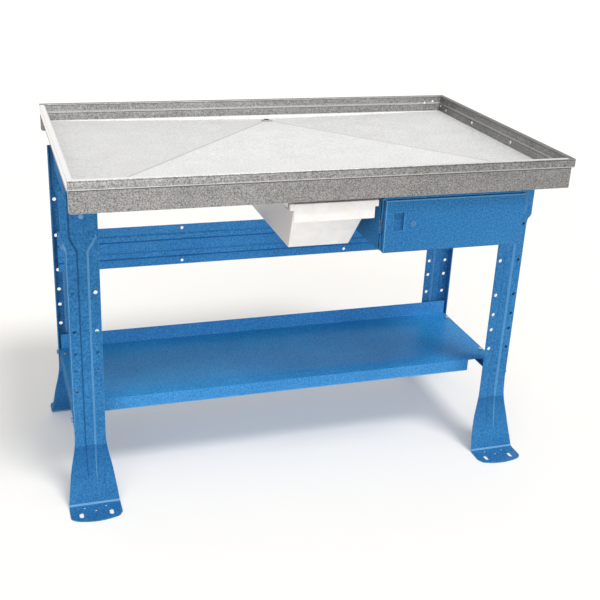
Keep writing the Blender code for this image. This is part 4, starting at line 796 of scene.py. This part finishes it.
def make_corner_rivets():
    """Rivets of the rear right corner joint, below and above the ledge of its walls."""
    heads = [((x, REAR_WALL + (LEDGE if z > LEDGE_HEIGHT else 0), z), (0, -1, 0))
             for x, z in REAR_RIVETS]
    heads += [((RIGHT_WALL + (LEDGE if z > LEDGE_HEIGHT else 0), y, z), (-1, 0, 0))
              for y, z in RIGHT_RIVETS]
    for number, (spot, outward) in enumerate(heads, 1):
        make_rivet("corner_rivet_%d" % number, spot, outward)


# ---------------------------------------------------------------- pressed legs, in millimetres
LEG_SHEET = 2.7
LEG_HALF = 38.5
LEG_TOP = 823.7
STRIP_DEPTH = 5.0
GROOVE_SLOPE = 3.5
GROOVE_HALF = 10.5
MOUTH_INNER = 31.0
MOUTH_OUTER = 27.0
MOUTH_TOP = 718.0
MOUTH_BOTTOM = 711.0
MOUTH_END = 676.0
WING_BOTTOM = 709.0
WING_END = 668.0
WING_REACH = 9.5
FLANGE = 26.0
FLANGE_TILT = 88.0
WING_TILT = 3.0
FADE_TOP = 232.0
FADE_END = 2.0
FLARE_TOP = 190.0
FLARE_GROOVE = 0.8
FOOT_HALF = 64.5
FOOT_REACH = 39.0
PLATE_LENGTH = 56.0
PLATE_BULGE = 15.0
PLATE_CORNER = 12.0
LEG_HEIGHTS = (LEG_TOP, 770, 730, MOUTH_TOP, 716.2, 714.5, 712.8, MOUTH_BOTTOM, 709, 700, 690, 680,
               MOUTH_END, 672, WING_END, 640, 520, 400, 280, FADE_TOP, 222, 211, 200)
# Shares of the flare's height, extra width and forward reach, from its top down
FLARE_SHARES = ((1.00, 0.00, 0.00), (0.86, 0.02, 0.03), (0.72, 0.17, 0.10), (0.56, 0.42, 0.22),
                (0.42, 0.60, 0.36), (0.28, 0.74, 0.54), (0.16, 0.86, 0.74), (0.07, 0.94, 0.89))
# Bend reaches across the leg, their steps, and how finely the four wide strips are divided
LEG_FOLDS = (1.6, 1.6, 1.6, 1.6, 4.5)
LEG_FOLD_STEPS = 3
STRIP_SPLITS = {0: 6, 8: 4, 16: 6, 20: 3}
# How far the bends reach down the leg, and their steps
ROW_STEPS = 2
ROW_SOFTNESS = 1.0
FLARE_SOFTNESS = 12.0
ANKLE_SOFTNESS = 9.0
BEND_MOST = 0.48
SHELL_MOST = 1.35
LEG_ROUNDING = 0.35
LEG_HOLE_HEIGHTS = (675.0, 572.0, 471.0, 413.0, 367.0, 309.0)
LEG_HOLE_ACROSS = 27.0
LEG_HOLE_RADIUS = 5.0
LEG_HOLE_DEPTH = 9.0
SLOT_ACROSS = 37.5
SLOT_REACH = 80.0
SLOT_HALF = 5.5
SLOT_RADIUS = 5.5
FOOT_HOLES = ((0.0, 66.0), (27.0, 50.0), (-27.0, 50.0))
FOOT_HOLE_RADIUS = 3.3
PLATE_CUT = (-4.0, 8.0)
FOOT_HOLE_CUT = (-4.0, 12.0)
LEGS = ("leg_front_left", "leg_front_right", "leg_rear_left", "leg_rear_right")


def part_way(value, low, high):
    """Share of the way from low to high, held between 0 and 1."""
    return min(1, max(0, (value - low) / (high - low)))


def eased(share):
    return share * share * (3 - 2 * share)


def between(first, second, share):
    return first + (second - first) * share


def bent(points, reaches, steps):
    """A bent line with a smooth curve at each inner point, always the same number of points."""
    line = [Vector(points[0])]
    for before, corner, after, reach in zip(points, points[1:], points[2:], reaches):
        before, corner, after = Vector(before), Vector(corner), Vector(after)
        back, on = before - corner, after - corner
        back = back.normalized() * min(reach, back.length * BEND_MOST)
        on = on.normalized() * min(reach, on.length * BEND_MOST)
        for step in range(steps + 1):
            share = step / steps
            line.append(corner + back * (1 - share) ** 2 + on * share ** 2)
    line.append(Vector(points[-1]))
    return line


def leg_section(height, winged):
    """Groove half widths and outer flange of a leg at one height."""
    mouth = part_way(height, MOUTH_END, MOUTH_BOTTOM)
    inner = between(GROOVE_HALF, MOUTH_INNER, mouth)
    outer = between(GROOVE_HALF, MOUTH_OUTER, mouth)
    flange = between(FADE_END, FLANGE, eased(part_way(height, FLARE_TOP, FADE_TOP)))
    tilt = FLANGE_TILT
    if winged:
        opened = eased(part_way(height, WING_END, WING_BOTTOM))
        flange = between(flange, WING_REACH, opened)
        tilt = between(FLANGE_TILT, WING_TILT, opened)
    return inner, outer, flange, math.radians(tilt)


def leg_row(height, half, reach, groove_share, winged):
    """Points (across, forward, up) of the leg's face at one height, inner edge first."""
    inner, outer, flange, tilt = leg_section(height, winged)
    if height < FLARE_TOP:
        narrowed = between(FLARE_GROOVE, 1, groove_share)
        inner, outer = inner * narrowed, outer * narrowed
    bottom = reach - STRIP_DEPTH * groove_share
    inner_strip = reach - STRIP_DEPTH * eased(part_way(height, MOUTH_BOTTOM, MOUTH_TOP))
    corners = [(-half, inner_strip), (-inner - GROOVE_SLOPE, inner_strip),
               (-inner, bottom), (outer, bottom), (outer + GROOVE_SLOPE, reach), (half, reach),
               (half + flange * math.cos(tilt), reach - flange * math.sin(tilt))]
    line = bent([(x, y, height) for x, y in corners], LEG_FOLDS, LEG_FOLD_STEPS)
    row = []
    for index, (point, following) in enumerate(zip(line, line[1:])):
        count = STRIP_SPLITS.get(index, 1)
        row += [point.lerp(following, step / count) for step in range(count)]
    row.append(line[-1])
    return row


def leg_surface(winged):
    """Rows of the leg's face from the top edge down to the front of the foot plate."""
    rows = [leg_row(height, LEG_HALF, 0, 1, winged) for height in LEG_HEIGHTS]
    for height_share, width_share, reach_share in FLARE_SHARES:
        height = between(LEG_SHEET, FLARE_TOP, height_share)
        half = between(LEG_HALF, FOOT_HALF, width_share)
        rows.append(leg_row(height, half, FOOT_REACH * reach_share, height_share, winged))
    ankle = leg_row(LEG_SHEET, FOOT_HALF, FOOT_REACH, 0, winged)
    middle, front = [], []
    for point in ankle:
        share = min(1, abs(point.x) / FOOT_HALF)
        edge = FOOT_REACH + PLATE_LENGTH + PLATE_BULGE * (1 - share * share)
        past = max(0, min(PLATE_CORNER, abs(point.x) - (FOOT_HALF - PLATE_CORNER)))
        edge -= PLATE_CORNER - math.sqrt(PLATE_CORNER ** 2 - past ** 2)
        middle.append(Vector((point.x, between(point.y, edge, 0.5), LEG_SHEET)))
        front.append(Vector((point.x, edge, LEG_SHEET)))
    rows += [ankle, middle, front]
    reaches = [ROW_SOFTNESS] * (len(LEG_HEIGHTS) - 1)
    reaches += [FLARE_SOFTNESS] * len(FLARE_SHARES) + [ANKLE_SOFTNESS, ROW_SOFTNESS]
    columns = [bent(column, reaches, ROW_STEPS) for column in zip(*rows)]
    return [list(row) for row in zip(*columns)]


def add_grid(mesh_data, grid):
    """Vertices and faces of a grid of points; returns the rows of vertices."""
    rows = [[mesh_data.verts.new(point) for point in row] for row in grid]
    for upper, lower in zip(rows, rows[1:]):
        for left in range(len(upper) - 1):
            mesh_data.faces.new((upper[left], upper[left + 1], lower[left + 1], lower[left]))
    return rows


def join_lines(mesh_data, first, second):
    for a, b, c, d in zip(first, first[1:], second[1:], second):
        mesh_data.faces.new((a, b, c, d))


def add_shell(mesh_data, grid, sheet, towards):
    """A closed sheet behind a grid of face points, kept above the floor."""
    rows = add_grid(mesh_data, grid)
    bmesh.ops.recalc_face_normals(mesh_data, faces=mesh_data.faces)
    mesh_data.faces.ensure_lookup_table()
    if mesh_data.faces[0].normal.dot(Vector(towards)) < 0:
        bmesh.ops.reverse_faces(mesh_data, faces=mesh_data.faces)
    mesh_data.normal_update()
    hidden = []
    for row in rows:
        line = []
        for corner in row:
            stretch = min(SHELL_MOST, corner.calc_shell_factor())
            spot = corner.co - corner.normal * sheet * stretch
            spot.z = max(0, spot.z)
            line.append(spot)
        hidden.append(line)
    back = add_grid(mesh_data, hidden)
    join_lines(mesh_data, rows[0], back[0])
    join_lines(mesh_data, rows[-1], back[-1])
    for side in (0, -1):
        join_lines(mesh_data, [row[side] for row in rows], [row[side] for row in back])


def slot_outline(x, y, half, radius, count=12):
    """A slot that is long in its second direction."""
    outline = []
    for sign, first in ((1, 0.0), (-1, math.pi)):
        for step in range(count + 1):
            angle = first + step * math.pi / count
            outline.append((x + radius * math.cos(angle),
                            y + sign * half + radius * math.sin(angle)))
    return outline


def cut_away(piece_mesh, cutter_mesh):
    """Boolean difference of two meshes, done now; returns the new mesh data."""
    for mesh_data in (piece_mesh, cutter_mesh):
        bmesh.ops.recalc_face_normals(mesh_data, faces=mesh_data.faces)
    body = link("cutter", mesh_from("cutter", piece_mesh))
    tool = link("cutter", mesh_from("cutter", cutter_mesh))
    difference = body.modifiers.new("cut", "BOOLEAN")
    difference.solver = "EXACT"
    difference.use_self = True
    difference.object = tool
    evaluated = body.evaluated_get(bpy.context.evaluated_depsgraph_get())
    result = bmesh.new()
    result.from_mesh(evaluated.to_mesh())
    evaluated.to_mesh_clear()
    for thing in (body, tool):
        mesh = thing.data
        bpy.data.objects.remove(thing)
        bpy.data.meshes.remove(mesh)
    return result


def leg_holes(place):
    """Cutter for a leg's round holes, anchor slots and foot holes."""
    tools = bmesh.new()
    depth = LEG_HOLE_DEPTH * MM
    for height in LEG_HOLE_HEIGHTS:
        for across in (-LEG_HOLE_ACROSS, LEG_HOLE_ACROSS):
            x, y, z = place(across, 0, height)
            add_prism(tools, circle(x, z, LEG_HOLE_RADIUS * MM), "Y", y - depth, y + depth)
    low, high = [level * MM for level in PLATE_CUT]
    for across in (-SLOT_ACROSS, SLOT_ACROSS):
        x, y, _ = place(across, SLOT_REACH, 0)
        add_prism(tools, slot_outline(x, y, SLOT_HALF * MM, SLOT_RADIUS * MM), "Z", low, high)
    low, high = [level * MM for level in FOOT_HOLE_CUT]
    for across, forward in FOOT_HOLES:
        x, y, _ = place(across, forward, 0)
        add_prism(tools, circle(x, y, FOOT_HOLE_RADIUS * MM), "Z", low, high)
    return tools


def make_leg(node):
    """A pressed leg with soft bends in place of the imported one; the front legs have wings."""
    low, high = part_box(node)
    side = 1 if low.x > 0 else -1
    facing = -1 if low.y < 0 else 1
    foot = low.y if facing < 0 else high.y
    face_y = foot - facing * (FOOT_REACH + PLATE_LENGTH + PLATE_BULGE) * MM
    centre = (high.x - FOOT_HALF * MM) if side > 0 else (low.x + FOOT_HALF * MM)

    def place(across, forward, up):
        return (centre + side * across * MM, face_y + facing * forward * MM, up * MM)

    grid = [[place(*point) for point in row] for row in leg_surface(facing < 0)]
    mesh_data = bmesh.new()
    add_shell(mesh_data, grid, LEG_SHEET * MM, (0, facing, 0))
    mesh_data = cut_away(mesh_data, leg_holes(place))
    leg = add_piece(node + "_pressed", mesh_data, "blue_paint", "frame")
    soften(leg, LEG_ROUNDING * MM, 2)
    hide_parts(node)


# ---------------------------------------------------------------- light, floor and camera
def make_softbox(name, azimuth, elevation, spread, power):
    """A distant soft light that points at the bench."""
    lamp = bpy.data.lights.new(name, "SUN")
    lamp.angle = math.radians(spread)
    lamp.energy = power
    softbox = link(name, lamp)
    azimuth, elevation = math.radians(azimuth), math.radians(elevation)
    towards = Vector((math.sin(azimuth) * math.cos(elevation),
                      -math.cos(azimuth) * math.cos(elevation),
                      math.sin(elevation)))
    softbox.location = towards * SOFTBOX_DISTANCE
    softbox.rotation_mode = "QUATERNION"
    softbox.rotation_quaternion = (-towards).to_track_quat("-Z", "Y")


def seen_directly(finish):
    """1 for rays that show the background itself: camera, glossy and transmission."""
    rays = [finish.add("LightPath", {}, output=name)
            for name in ("Is Camera Ray", "Is Glossy Ray", "Is Transmission Ray")]
    return (rays[0] + rays[1] + rays[2]).held()


def make_world():
    """White surroundings that light the bench less than they show."""
    world = bpy.data.worlds.new("white_studio")
    bpy.context.scene.world = world
    studio = Finish(world)
    strength = AMBIENT + (1 - AMBIENT) * seen_directly(studio)
    sky = studio.add("Background", {"Color": WHITE, "Strength": strength})
    studio.show(sky, "OutputWorld")


def make_floor():
    mesh_data = bmesh.new()
    corners = [mesh_data.verts.new((x * FLOOR_REACH, y * FLOOR_REACH, 0))
               for x, y in ((-1, -1), (1, -1), (1, 1), (-1, 1))]
    mesh_data.faces.new(corners)
    ground = link("studio_floor", mesh_from("studio_floor", mesh_data))
    paper = new_finish("studio_paper")
    matt = paper.add("BsdfDiffuse", {"Color": FLOOR_TONE})
    strength = FLOOR_LIFT * seen_directly(paper)
    lift = paper.add("Emission", {"Color": WHITE, "Strength": strength})
    paper.show(paper.add("AddShader", {0: matt, 1: lift}), "OutputMaterial")
    ground.data.materials.append(paper.owner)


def make_camera():
    data = bpy.data.cameras.new("photo_camera")
    data.sensor_width = SENSOR_WIDTH
    data.lens = CAMERA_LENS
    data.clip_start = CAMERA_NEAR
    data.clip_end = CAMERA_FAR
    camera = link("photo_camera", data)
    sin_yaw, cos_yaw = math.sin(CAMERA_YAW), math.cos(CAMERA_YAW)
    sin_pitch, cos_pitch = math.sin(CAMERA_PITCH), math.cos(CAMERA_PITCH)
    ahead = Vector((sin_yaw * cos_pitch, cos_yaw * cos_pitch, -sin_pitch))
    level = Vector((cos_yaw, -sin_yaw, 0))
    upright = level.cross(ahead)
    right = math.cos(CAMERA_ROLL) * level + math.sin(CAMERA_ROLL) * upright
    up = -math.sin(CAMERA_ROLL) * level + math.cos(CAMERA_ROLL) * upright
    turn = Matrix((right, up, -ahead)).transposed()
    camera.matrix_world = Matrix.Translation(CAMERA_PLACE) @ turn.to_4x4()
    bpy.context.scene.camera = camera


def dress_rest():
    """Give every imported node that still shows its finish."""
    for name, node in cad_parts.items():
        for place in node.material_slots:
            slot_name = place.material.name.split(".")[0] if place.material else None
            if slot_name in FINISHES:
                place.material = NODE_FINISHES.get(name, FINISHES[slot_name])


make_camera()
make_world()
for softbox_values in SOFTBOXES:
    make_softbox(*softbox_values)
make_floor()
for sheet_values in SHEETS:
    dress_sheet(*sheet_values)
make_apron()
make_housing_lips()
make_housing_rail()
make_corner_rivets()
for leg_name in LEGS:
    make_leg(leg_name)
dress_rest()
bpy.context.scene.view_settings.view_transform = "Standard"
